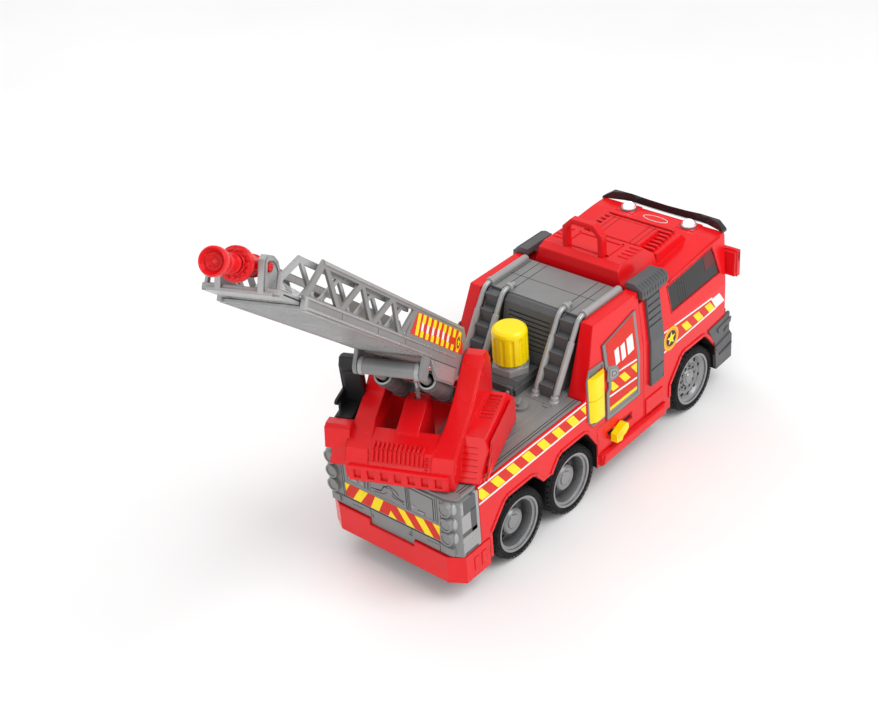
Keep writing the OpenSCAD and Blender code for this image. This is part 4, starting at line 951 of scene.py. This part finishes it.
FOOT_U, FOOT_Z = -20, 145
BAR_L, BAR_N = 103.3, -15
bar_u = HINGE[0] + BAR_L * math.cos(LIFT) - BAR_N * math.sin(LIFT)
bar_z = HINGE[1] + BAR_L * math.sin(LIFT) + BAR_N * math.cos(LIFT)
PITCH = math.atan2(bar_z - FOOT_Z, bar_u - FOOT_U)
REACH = math.hypot(bar_z - FOOT_Z, bar_u - FOOT_U)
GLAND = [(5.8, 55.06), (6.9, 55.06), (7.5, 55.6), (6.9, 56.6), (6.0, 56.9), (5.8, 56.4)]


def on_cylinders(l, v, n):
    """Cylinder frame (l from the foot towards the ladder's crossbar) to the row frame, in mm."""
    return on_turret(FOOT_U + l * math.cos(PITCH) - n * math.sin(PITCH), v,
                     FOOT_Z + l * math.sin(PITCH) + n * math.cos(PITCH))


def band(inner, outer, start, end, chamfer):
    """Profile of a ring with chamfered edges."""
    return [(inner, start), (outer, start + chamfer), (outer, end - chamfer), (inner, end)]


CYLINDER_BANDS = [band(7.2, 8.0, 6.0, 9.0, 0.4), band(7.2, 7.75, 30.0, 31.6, 0.4),
                  band(7.2, 8.3, 47.5, 50.8, 0.4)]
for tag, v in (("left", 18), ("right", -18)):
    around = lambda p, q, d: on_cylinders(d, v + p, q)
    turned(f"cylinder_bands_{tag}", [(ring, around) for ring in CYLINDER_BANDS], DARK_TRIM_AND_SHADE, "cylinders", 40,
           bevel=0.3)
    turned(f"cylinder_gland_{tag}", [(GLAND, around)], PALE_GREY, "cylinders", 40, bevel=0.3)
turned("crossbar_collars", [(band(5.8, 7.2, v0, v0 + 3.8, 0.3), lambda p, q, d: on_cylinders(REACH + p, d, q))
                            for v0 in (-24.2, 20.4)], PALE_GREY, "rods", 36, bevel=0.3)

# ---- Ladder ------------------------------------------------------------------------------------------

PLATE_V = 28.0
LADDER_BADGE = (30.5, 16.2)
LADDER_BADGE_RINGS = ((6.6, BLOCK), (5.6, ORANGE), (4.4, INK))
SHEET = [(28.0, 25.4), (140.6, 25.4), (152.8, 8.2), (13.5, 8.2), (16.5, 16.0)]
ROOT_PLATE = [(31, -4.4), (96, -4.4), (73.6, -16.4), (31, -16.4)]


def ladder_print():
    """Shapes of the ladder's sheet: ragged yellow blocks with white bars across the middle."""
    ragged, bars = [], []
    rng = random.Random(31)
    for i in range(9):
        l = 26.0 + i * 13.4
        if i in (0, 8):
            ragged.append([(l - 1.0, 25.0), (l + 6.0, 25.0), (l + 8.6, 8.6), (l + 1.6, 8.6)])
            continue
        step = rng.uniform(-0.8, 0.8)
        ragged.append([(l, 25.4), (l + 7.0, 25.4), (l + 8.2, 19.6 + step), (l + 1.2, 19.6 + step)])
        ragged.append([(l + 2.2, 13.8 + step), (l + 9.2, 13.8 + step), (l + 10.2, 8.4), (l + 3.2, 8.4)])
        if i > 1:
            bars.append([(l + 3.0, 20.6), (l + 8.2, 20.6), (l + 9.4, 13.0), (l + 4.2, 13.0)])
    return [(SHEET, BASE)] + [(b, LINE) for b in bars] + [(r, BLOCK) for r in ragged]


for tag, side in (("left", 1), ("right", -1)):
    decal(f"ladder_sheet_{tag}", ladder_print(), lambda lift: ladder_plane(side * (PLATE_V + lift)), FOILS,
          "ladder")
    for i, (r, foil) in enumerate(LADDER_BADGE_RINGS):
        decal(f"ladder_badge_{tag}_{i}", [(disc(*LADDER_BADGE, r, 28), 0)],
              lambda lift: ladder_plane(side * (PLATE_V + 0.3 + 0.06 * i + lift)), [FOILS[foil]], "ladder",
              thickness=0.05)
    decal(f"ladder_badge_{tag}_star", [(star(*LADDER_BADGE, 3.8, 1.7, 5), 0)],
          lambda lift: ladder_plane(side * (PLATE_V + 0.52 + lift)), [FOILS[BLOCK]], "ladder", thickness=0.05)
    # Raised rails, root plate and seams of the side plate
    low = ladder_plane(side * (PLATE_V - 0.1))
    slabs(f"ladder_side_rim_{tag}", [line(24, 28.6, 333, 28.6, 2.2), line(96, -1.9, 352, -1.9, 1.8),
                                     line(34, 4.2, 354, 4.2, 1.6)],
          low, ladder_plane(side * 28.7), SILVER_TRIM, "ladder", bevel=0.35)
    slabs(f"ladder_root_plate_{tag}", [ROOT_PLATE], low, ladder_plane(side * 28.6), SILVER_TRIM, "ladder",
          bevel=0.4)
    seams(f"ladder_seams_{tag}", [line(24, -3.6, 98, -3.6, 0.5), line(220, -2.5, 220, 4, 0.4)]
          + [line(l, 3.2, l, -2.8, 0.4) for l in (160, 291)],
          low, ladder_plane(side * 28.12), SEAM_AND_SHADE_GREY, "ladder")

# Fine ribs across the ladder's underside
ribs = [((27.0 + i * 5.05, -24.5, -3.7), (29.2 + i * 5.05, 24.5, -2.8)) for i in range(64)]
boxes("ladder_floor_ribs", ribs, SILVER_TRIM, "ladder", on_ladder, segments=1)
# A dark plate under the ribs is painted shade in the gaps between them.
boxes("ladder_floor_gap_shade", [((25.0, -25.0, -3.5), (351.0, 25.0, -2.9))], SEAM_AND_SHADE_GREY, "ladder", on_ladder,
      bevel=0.0)
boxes("ladder_floor_rails", [((24, v0, -3.9), (353, v0 + 2.4, -2.8)) for v0 in (-27.6, 25.2)],
      SILVER_TRIM, "ladder", on_ladder, bevel=0.35)
# Bright lip and corner blocks at the ladder's far end
boxes("ladder_end_lip", [((350.5, -27.6, -3.7), (353.2, 27.6, -1.0))]
      + [((351.0, v0, -3.4), (355.6, v0 + 3.4, 5.0)) for v0 in (-28.6, 25.2)],
      PALE_GREY, "ladder", on_ladder, bevel=0.5)

# ---- Inner ladder and nozzle -------------------------------------------------------------------------

BRACKET_FACE = [(367.4, 2.0), (369.6, 16.4), (374.2, 20.4), (380.6, 22.2), (389.2, 21.2), (391.4, 18.4),
                (387.0, 2.0)]
boxes("inner_front_edge", [((384.4, -24.4, 0.0), (386.4, 24.4, 3.6)),
                           ((384.4, -24.4, -0.6), (385.8, 24.4, 0.2))],
      PALE_GREY, "extension", on_ladder, bevel=0.4)
for tag, side in (("left", 1), ("right", -1)):
    seams(f"inner_slot_{tag}", [line(240, 1.5, 380, 1.5, 1.0)], ladder_plane(side * 24.5),
          ladder_plane(side * 24.68), SEAM_AND_SHADE_GREY, "extension")
    # Rounded ribs around the bracket's side face, the tie behind it and a foot
    slabs(f"bracket_rim_{tag}", ring_strip(BRACKET_FACE, 2.2), ladder_plane(side * 15.3),
          ladder_plane(side * 16.3), SILVER_TRIM, "extension", bevel=0.45)
    boxes(f"bracket_tie_{tag}", [((352, side * 12.4, 1.0), (368, side * 14.6, 7.0)),
                                 ((376, side * 15.2, 1.0), (384, side * 21.0, 4.2))],
          SILVER_TRIM, "extension", on_ladder, bevel=0.5)

JET = [(0.0, 39.4), (1.8, 39.4), (2.0, 40.6), (2.6, 40.8), (2.9, 39.8), (3.8, 40.4), (4.1, 41.4), (4.6, 41.4),
       (4.9, 40.9), (5.6, 41.6), (5.6, 39.0)]
MOUTH = [(7.4, 36.6), (8.5, 37.2), (8.8, 39.0), (8.8, 42.0), (8.3, 43.3), (7.6, 43.6), (7.0, 42.6),
         (6.6, 40.6)]
BARREL_RINGS = [[(5.1, 16.0), (6.0, 16.4), (6.0, 18.4), (5.1, 18.8)],
                [(5.1, 27.0), (6.4, 27.6), (6.4, 30.2), (5.1, 30.8)],
                [(10.0, 9.0), (10.7, 9.4), (10.7, 12.9), (10.0, 13.4)],
                [(6.0, 13.3), (6.9, 13.3), (6.9, 14.6), (6.0, 15.0)],
                [(6.1, -13.4), (7.0, -13.0), (7.0, -10.4), (6.1, -10.0)],
                [(6.1, 3.2), (6.9, 3.5), (6.9, 5.5), (6.1, 5.8)]]
profiles = [JET, MOUTH] + BARREL_RINGS
turned("nozzle_rings", [(profile, lambda p, q, d: on_nozzle(d, p, q)) for profile in profiles], RED_TRIM,
       "nozzle", 48, bevel=0.25)
BOLTS, BOLT_CIRCLE = 8, 8.4
bm = bmesh.new()
for k in range(BOLTS):
    angle = 2 * math.pi * (k + 0.5) / BOLTS
    a, b = BOLT_CIRCLE * math.cos(angle), BOLT_CIRCLE * math.sin(angle)
    lathe(bm, [(1.0, 13.2), (1.0, 14.3), (0.7, 14.7), (0.0, 14.7)],
          lambda p, q, d: on_nozzle(d, a + p, b + q), 6)
from_bmesh("nozzle_bolts", bm, RED_TRIM, "nozzle", bevel=0.15)

# ---- Clear hose --------------------------------------------------------------------------------------
# It runs from the turret's neck and bends towards the ladder's root

HOSE_U, HOSE_FOOT, HOSE_TOP = -4, 114.0, 158.0
HOSE_BEND, HOSE_LEAN, HOSE_RADIUS, HOSE_SIDES = 22.0, math.radians(50), 2.0, 20


def hose_route():
    """Points (u, z) of the hose: straight up, round a bend towards the ladder and a little further."""
    route = [(HOSE_U, HOSE_FOOT + k * (HOSE_TOP - HOSE_FOOT) / 16) for k in range(16)]
    for k in range(13):
        turn = HOSE_LEAN * k / 12
        route.append((HOSE_U + HOSE_BEND * (1 - math.cos(turn)), HOSE_TOP + HOSE_BEND * math.sin(turn)))
    route.append((route[-1][0] + 5 * math.sin(HOSE_LEAN), route[-1][1] + 5 * math.cos(HOSE_LEAN)))
    return route


def hose_ring(bm, u, z, tu, tz):
    """Ring of vertices round the point (u, z), square to the direction (tu, tz)."""
    ring = []
    for k in range(HOSE_SIDES):
        angle = 2 * math.pi * k / HOSE_SIDES
        out = HOSE_RADIUS * math.cos(angle)
        ring.append(bm.verts.new(on_turret(u - tz * out, HOSE_RADIUS * math.sin(angle), z + tu * out)))
    return ring


route = hose_route()
bm = bmesh.new()
rings = []
for i, (u, z) in enumerate(route):
    (u0, z0), (u1, z1) = route[max(i - 1, 0)], route[min(i + 1, len(route) - 1)]
    length = math.hypot(u1 - u0, z1 - z0)
    rings.append(hose_ring(bm, u, z, (u1 - u0) / length, (z1 - z0) / length))
for a, b in zip(rings, rings[1:]):
    for k in range(HOSE_SIDES):
        n = (k + 1) % HOSE_SIDES
        bm.faces.new((a[k], a[n], b[n], b[k]))
bm.faces.new(rings[0][::-1])
bm.faces.new(rings[-1])
bmesh.ops.recalc_face_normals(bm, faces=bm.faces)
hose_mesh = bpy.data.meshes.new("bending_hose")
bm.to_mesh(hose_mesh)
bm.free()
hose_mesh.transform(Matrix.Scale(MM, 4))
hose_mesh.materials.append(LOOKS["clear_hose"])
for face in hose_mesh.polygons:
    face.use_smooth = True
bending_hose = bpy.data.objects.new("bending_hose", hose_mesh)
scene.collection.objects.link(bending_hose)
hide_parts("turret_hose")
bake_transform(bending_hose)

# ---- Cab roof ----------------------------------------------------------------------------------------

HATCH_Z = 179.4
LAMP_X, LAMPS_Y = 177, (-33, 33)
PLAQUE_X = 172
ROOF_RISE = 0.032
ROOF_EDGE = [(93, 152.9), (164, 158.4), (172, 159.2), (178, 159.0), (178, 160.8), (164, 160.4), (93, 154.9)]


def oval(x, half_x, half_y, steps=28):
    """Outline (x, y) of an oval across the roof."""
    turns = [2 * math.pi * k / steps for k in range(steps)]
    return [(x + half_x * math.cos(a), half_y * math.sin(a)) for a in turns]


louvres = []
for i in range(7):
    x, half_y, z = 112 + i * 6.0, 38 - 0.4 * i, 167.0 + i * 0.28
    louvres.append(((x, -half_y, z), (x + 3.2, half_y, z + 1.9)))
boxes("roof_louvres", louvres, RED_TRIM, bevel=0.6)
boxes("roof_hatch", [((x0, y0, HATCH_Z), (x1, y1, HATCH_Z + 1.5)) for x0, x1, y0, y1 in (
    (62, 88, -24, -21.6), (62, 88, 21.6, 24), (62, 64.4, -24, 24), (85.6, 88, -24, 24))],
      RED_TRIM, bevel=0.5)
boxes("roof_block_ribs", [((68 + i * 6, s * 30.0, HATCH_Z), (71 + i * 6, s * 40.0, HATCH_Z + 1.4))
                          for i in range(4) for s in (-1, 1)], RED_TRIM, bevel=0.45)
seams("roof_centre_lines", [line(106, y, 140, y, 0.5) for y in (-22, -16, 16, 22)],
      at_z(171.8, ROOF_RISE, 106), at_z(172.2, ROOF_RISE, 106), SEAM_RED)
boxes("roof_front_plinths", [((168.5, y - 10.0, 160.6), (185.5, y + 10.0, 162.2)) for y in LAMPS_Y],
      RED_TRIM, bevel=0.8)
for side_name, side in SIDES.items():
    side_slabs(f"roof_edge_{side_name}", [ROOF_EDGE], side, -0.1, 1.3, RED_TRIM, bevel=0.6)
# Blank oval plaque between the lamps
slabs("roof_plaque", [oval(PLAQUE_X, 4.2, 12.5)], at_z(161.3), at_z(162.0), RED_TRIM, bevel=0.3)
slabs("roof_plaque_rim", ring_strip(oval(PLAQUE_X, 4.7, 13.2), 0.5), at_z(161.3), at_z(162.1), FOIL_WHITE,
      bevel=0.0)


def glow_material():
    """Lit lamp lens: pale blue with a weak glow of its own."""
    g = Graph("lamp_glow")
    g.link(g.mix(g.ramp(g.noise(140, 3), 0.3, 0.7), (0.75, 0.86, 1.0), (0.95, 0.98, 1.0)),
           g.shader.inputs["Base Color"])
    g.link(g.ramp(g.noise(140, 3), 0.3, 0.7, 0.12, 0.22), g.shader.inputs["Roughness"])
    g.link(g.bump(g.noise(600, 2), 0.1, 0.00003), g.shader.inputs["Normal"])
    g.shader.inputs["Emission Color"].default_value = (0.82, 0.91, 1.0, 1.0)
    g.shader.inputs["Emission Strength"].default_value = 2.2
    return g.material


LENS = [(0.0, 5.4), (1.6, 5.2), (3.4, 4.2), (4.4, 2.2), (4.6, 0.2), (0.0, 0.2)]
COLLAR = [(6.6, -0.4), (8.2, -0.4), (8.2, 0.8), (7.4, 1.4), (6.7, 1.2)]
turned("roof_lamp_glow", [(LENS, upright(LAMP_X, y, 163.0)) for y in LAMPS_Y], glow_material(), steps=32,
       smooth=True)
turned("roof_lamp_collars", [(COLLAR, upright(LAMP_X, y, 161.9)) for y in LAMPS_Y], DARK_TRIM_AND_SHADE, steps=40,
       bevel=0.2)

# ---- Cab front ---------------------------------------------------------------------------------------

NOSE_STATIONS = [(0.0, 195.0), (20.0, 194.0), (45.0, 191.0), (66.0, 185.0), (71.5, 180.0)]
NOSE_RAKE_Z = 114.0


def nose_x(y, z):
    """Front face of the cab at (y, z), in mm."""
    y = min(abs(y), 71.4)
    for (y0, x0), (y1, x1) in zip(NOSE_STATIONS, NOSE_STATIONS[1:]):
        if y <= y1:
            x = x0 + (x1 - x0) * (y - y0) / (y1 - y0)
            break
    rake = 202.0 - (z - NOSE_RAKE_Z) * 18.0 / 47.5 if z > NOSE_RAKE_Z else 206.0
    return min(x, rake)


def on_nose(lift):
    """Places a (y, z) outline lift mm proud of the cab's front."""
    return lambda y, z: (nose_x(y, z) + lift, y, z)


def nose_slabs(name, outlines, lift0, lift1, looks):
    """Slabs over (y, z) outlines on the cab's bowed front, split so that they follow it."""
    bm = bmesh.new()
    for outline in outlines:
        low = min(a for a, _ in outline)
        high = max(a for a, _ in outline)
        cuts = [c for c in range(-70, 71, 5) if low < c < high]
        edges = [low] + cuts + [high]
        for c0, c1 in zip(edges, edges[1:]):
            part = clip(clip(outline, c0, 1), c1, -1)
            if len(part) > 2:
                prism(bm, part, on_nose(lift0), on_nose(lift1))
    bmesh.ops.remove_doubles(bm, verts=bm.verts, dist=0.001)
    inner = [f for f in bm.faces if all(len(e.link_faces) > 2 for e in f.edges)]
    bmesh.ops.delete(bm, geom=inner, context="FACES")
    return from_bmesh(name, bm, looks)


nose_slabs("grille_surround", [[(-34, 112), (34, 112), (30, 82), (-30, 82)]], -0.2, 0.9, DARK_TRIM_AND_SHADE)
nose_slabs("grille_bars", [[(-31, z), (31, z), (31, z + 3), (-31, z + 3)] for z in (85.5, 91.5, 97.5, 103.5)],
           0.7, 2.0, SILVER_TRIM)
housings = [[(s * 33, 101), (s * 58, 100), (s * 60, 84), (s * 34, 80)][::s] for s in (-1, 1)]
nose_slabs("lamp_housings", housings, -0.2, 0.8, DARK_TRIM_AND_SHADE)
nose_slabs("windscreen_wipers", [line(-6, 120, 34, 127, 1.2), line(-46, 119, -8, 126, 1.2)], -0.1, 0.9,
           BLACK_TRIM)
nose_slabs("nose_trim", [[(-52, 113.2), (52, 113.2), (52, 115.4), (-52, 115.4)]], -0.1, 0.7, RED_TRIM)

# ---- Bumper and mirrors ------------------------------------------------------------------------------

BUMPER_STEPS = [[(165, 70.4), (189, 73.6), (187.6, 68.0), (167, 65.0)],
                [(161, 52.0), (188, 56.6), (188.4, 51.0), (164.8, 47.2)]]
for side_name, side in SIDES.items():
    slabs(f"bumper_slots_{side_name}", [line(177, 62.5, 184, 66.2, 2.6), line(170, 40.2, 192, 43.4, 3.0)],
          at_y(side * 72.7), at_y(side * 73.1), BLACK_TRIM, bevel=0.1)
    slabs(f"bumper_steps_{side_name}", BUMPER_STEPS, at_y(side * 72.6), at_y(side * 74.1), DARK_TRIM_AND_SHADE,
          bevel=0.8)
for side_name, side in SIDES.items():
    boxes(f"mirror_lobes_{side_name}", [((186.6, side * 65, 131.6), (192.8, side * 79.0, 144.6)),
                                        ((186.6, side * 66, 117.6), (192.6, side * 78.6, 131.0))],
          RED_TRIM, bevel=2.2, segments=4)

# ---- Deck and stairs ---------------------------------------------------------------------------------

DECK_Z = 103.5
PLATFORM_Z = 164.8
TREAD_PITCH, TREAD_RISE = 7.9, 11.8
STRING = [(-54, 103.8), (-44, 103.8), (-6, 160.6), (-12, 163.8), (-15.2, 163.4)]
BOTH = (-1, 1)

seams("deck_lines", [line(-196, s * y, -40, s * y, 0.7) for y in (62.5, 65.2) for s in BOTH]
      + [line(-64, s * y, -40.6, s * y, 0.6) for y in (44, 52) for s in BOTH]
      + [line(-64, s * 44, -64, s * 52, 0.6) for s in BOTH],
      at_z(DECK_Z - 0.1), at_z(DECK_Z + 0.12), SEAM_AND_SHADE_GREY)
boxes("deck_hatch", [((-60, s * 24, 103.4), (-35.5, s * 52.6, 104.1)) for s in BOTH], GREY_TRIM, bevel=0.35)
boxes("deck_hatch_treads", [((-58 + i * 3.2, s * 27, 103.9), (-56.8 + i * 3.2, s * 49.8, 104.6))
                            for i in range(6) for s in BOTH], GREY_TRIM, bevel=0.25)
boxes("deck_curbs", [((-199, s * 67.4, 103.3), (-41.5, s * 69.0, 104.3)) for s in BOTH], GREY_TRIM, bevel=0.4)
# Treads, side strings and the flat top
for tag, s in SIDES.items():
    treads = [(-52.4 + TREAD_PITCH * i, DECK_Z + 10.4 + TREAD_RISE * i) for i in range(5)]
    boxes(f"stair_treads_{tag}", [((x, s * 33.4, z), (x + 8.0, s * 46.8, z + 1.5)) for x, z in treads],
          DARK_TRIM_AND_SHADE, bevel=0.35)
    for k, y in enumerate((32.6, 47.2)):
        slabs(f"stair_string_{tag}_{k}", [STRING], at_y(s * (y - 0.5)), at_y(s * (y + 0.6)), DARK_TRIM_AND_SHADE,
              bevel=0.3)
boxes("platform_top", [((-10.6, -53.0, 163.9), (44.0, 53.0, 164.9))], GREY_TRIM, bevel=0.4)
seams("platform_lines", [line(-9.5, y, 43, y, 0.6) for y in (-45, -36, -27.5, 27.5, 36, 45)]
      + [line(16, -52, 16, 52, 0.5)], at_z(PLATFORM_Z), at_z(PLATFORM_Z + 0.2), SEAM_AND_SHADE_GREY)

# ---- Handrails ---------------------------------------------------------------------------------------

OUTER_RAIL, INNER_RAIL = 50.1, 30.2
RAILS = [(y, s) for y in (OUTER_RAIL, INNER_RAIL) for s in BOTH]
RAIL_SLOPE, RAIL_BEND, RAIL_TOP, RAIL_FOOT = math.radians(59), 11.0, 166.9, 103.8
bend_start_x = -10 + RAIL_BEND * math.cos(math.radians(149))
bend_start_z = RAIL_TOP - RAIL_BEND + RAIL_BEND * math.sin(math.radians(149))
foot_x = bend_start_x - (bend_start_z - RAIL_FOOT) / math.tan(RAIL_SLOPE)


def up_rail(y):
    """Places a turned form on the slanting part of the rail at y, from its foot upwards."""
    return lambda p, q, d: (foot_x + d * math.cos(RAIL_SLOPE) - q * math.sin(RAIL_SLOPE), y + p,
                            RAIL_FOOT + d * math.sin(RAIL_SLOPE) + q * math.cos(RAIL_SLOPE))


def along_rail(y):
    """Places a turned form on the level part of the rail at y, by x."""
    return lambda p, q, d: (d, y + p, RAIL_TOP + q)


bm = bmesh.new()
for y, s in RAILS:
    lathe(bm, [(4.4, 0.0), (4.4, 1.2), (3.6, 1.8), (3.4, 4.6), (2.4, 5.4), (2.35, 0.0)],
          lambda p, q, d: (foot_x + p + d * 0.35, s * y + q, DECK_Z + d), 28)
from_bmesh("handrail_feet", bm, PALE_GREY, bevel=0.2)
bm = bmesh.new()
for s in BOTH:
    lathe(bm, [(0.0, 1.2), (2.0, 1.0), (3.0, 0.0), (3.2, -2.6), (2.35, -3.2)],
          lambda p, q, d: (42.0 + d, s * OUTER_RAIL + p, RAIL_TOP + q * 0.9 - 0.2), 24)
from_bmesh("handrail_ends", bm, PALE_GREY, smooth=True)
# Thicker sleeves over the outer rails' level part, and the collars where they start
sleeves = []
for s in BOTH:
    sleeves.append(([(2.5, -8.0), (3.3, -7.7), (3.3, 41.0), (2.5, 41.4)], along_rail(s * OUTER_RAIL)))
    for y, x in ((OUTER_RAIL, -10.4), (INNER_RAIL, -9.6)):
        sleeves.append((band(2.5, 3.8, x, x + 3.9, 0.3), along_rail(s * y)))
turned("handrail_sleeves", sleeves, PALE_GREY, bevel=0.25)
# Thin shells that thicken the slanting part of the rails
GRIP = [(2.45, 6.0), (2.95, 6.3), (2.95, 52.0), (2.45, 52.4)]
turned("handrail_grips", [(GRIP, up_rail(s * y)) for y, s in RAILS], PALE_GREY, bevel=0.2)

# ---- Pump --------------------------------------------------------------------------------------------

boxes("pump_ledges", [((-67.4, -19.6, 109.6), (-60, 19.6, 111.6)), ((-60, -19.6, 109.6), (-34, -18.2, 111.6)),
                      ((-60, 18.2, 109.6), (-34, 19.6, 111.6))], DARK_TRIM_AND_SHADE, bevel=0.5)
boxes("pump_lugs", [((-69.6, y, 104.2), (-66.4, y + 6.4, 113.4)) for y in (-17.2, 10.8)], DARK_TRIM_AND_SHADE, bevel=0.7)
bm = bmesh.new()
for y in (-14.0, 14.0):
    lathe(bm, [(1.6, 0.0), (1.6, 1.4), (1.0, 1.9), (0.0, 1.9)],
          lambda p, q, d: (-69.4 - d, y + p, 108.8 + q), 18)
from_bmesh("pump_lug_pins", bm, PALE_GREY, bevel=0.2)


# ---- Studio ------------------------------------------------------------------------------------------

def floor_material():
    g = Graph("studio_floor")
    g.link(g.mix(g.ramp(g.noise(3, 3), 0.3, 0.7), (0.9, 0.9, 0.9), (0.93, 0.93, 0.93)),
           g.shader.inputs["Base Color"])
    g.link(g.ramp(g.noise(5, 3), 0.3, 0.7, 0.6, 0.75), g.shader.inputs["Roughness"])
    g.link(g.bump(g.noise(400, 2), 0.05, 0.00002), g.shader.inputs["Normal"])
    return g.material


def area_light(name, location, target, size, power):
    data = bpy.data.lights.new(name, "AREA")
    data.shape = "RECTANGLE"
    data.size, data.size_y = size
    data.energy = power
    lamp = bpy.data.objects.new(name, data)
    lamp.location = location
    lamp.rotation_euler = (Vector(target) - Vector(location)).to_track_quat("-Z", "Y").to_euler()
    scene.collection.objects.link(lamp)


floor_mesh = bpy.data.meshes.new("floor")
FLOOR = 14
floor_mesh.from_pydata([(-FLOOR, -FLOOR, 0), (FLOOR, -FLOOR, 0), (FLOOR, FLOOR, 0), (-FLOOR, FLOOR, 0)], [],
                       [(0, 1, 2, 3)])
floor = bpy.data.objects.new("floor", floor_mesh)
floor.data.materials.append(floor_material())
scene.collection.objects.link(floor)

world = bpy.data.worlds.new("studio")
world.use_nodes = True
world.node_tree.nodes["Background"].inputs["Color"].default_value = (1.0, 1.0, 1.0, 1.0)
world.node_tree.nodes["Background"].inputs["Strength"].default_value = 0.66
scene.world = world
scene.view_settings.view_transform = "Standard"

area_light("key", (0.35, -1.5, 1.9), (0, 0, 0.1), (1.5, 1.5), 32)
area_light("fill", (-1.7, -0.5, 1.0), (0, 0, 0.1), (1.2, 1.2), 7)
area_light("back", (0.3, 1.6, 1.6), (0, 0, 0.1), (1.6, 0.8), 10)

camera_data = bpy.data.cameras.new("camera")
camera_data.sensor_width = 36.0
camera_data.lens = 62.94
camera = bpy.data.objects.new("camera", camera_data)
VIEW_RIGHT = Vector((0.64781, -0.75827, -0.07311))
VIEW_UP = Vector((0.44703, 0.30067, 0.84246))
VIEW_BACK = VIEW_RIGHT.cross(VIEW_UP)
camera.matrix_world = Matrix.Translation((-0.8898, -0.7074, 0.8304)) @ Matrix(
    (VIEW_RIGHT, VIEW_UP, VIEW_BACK)).transposed().to_4x4()
scene.collection.objects.link(camera)
scene.camera = camera
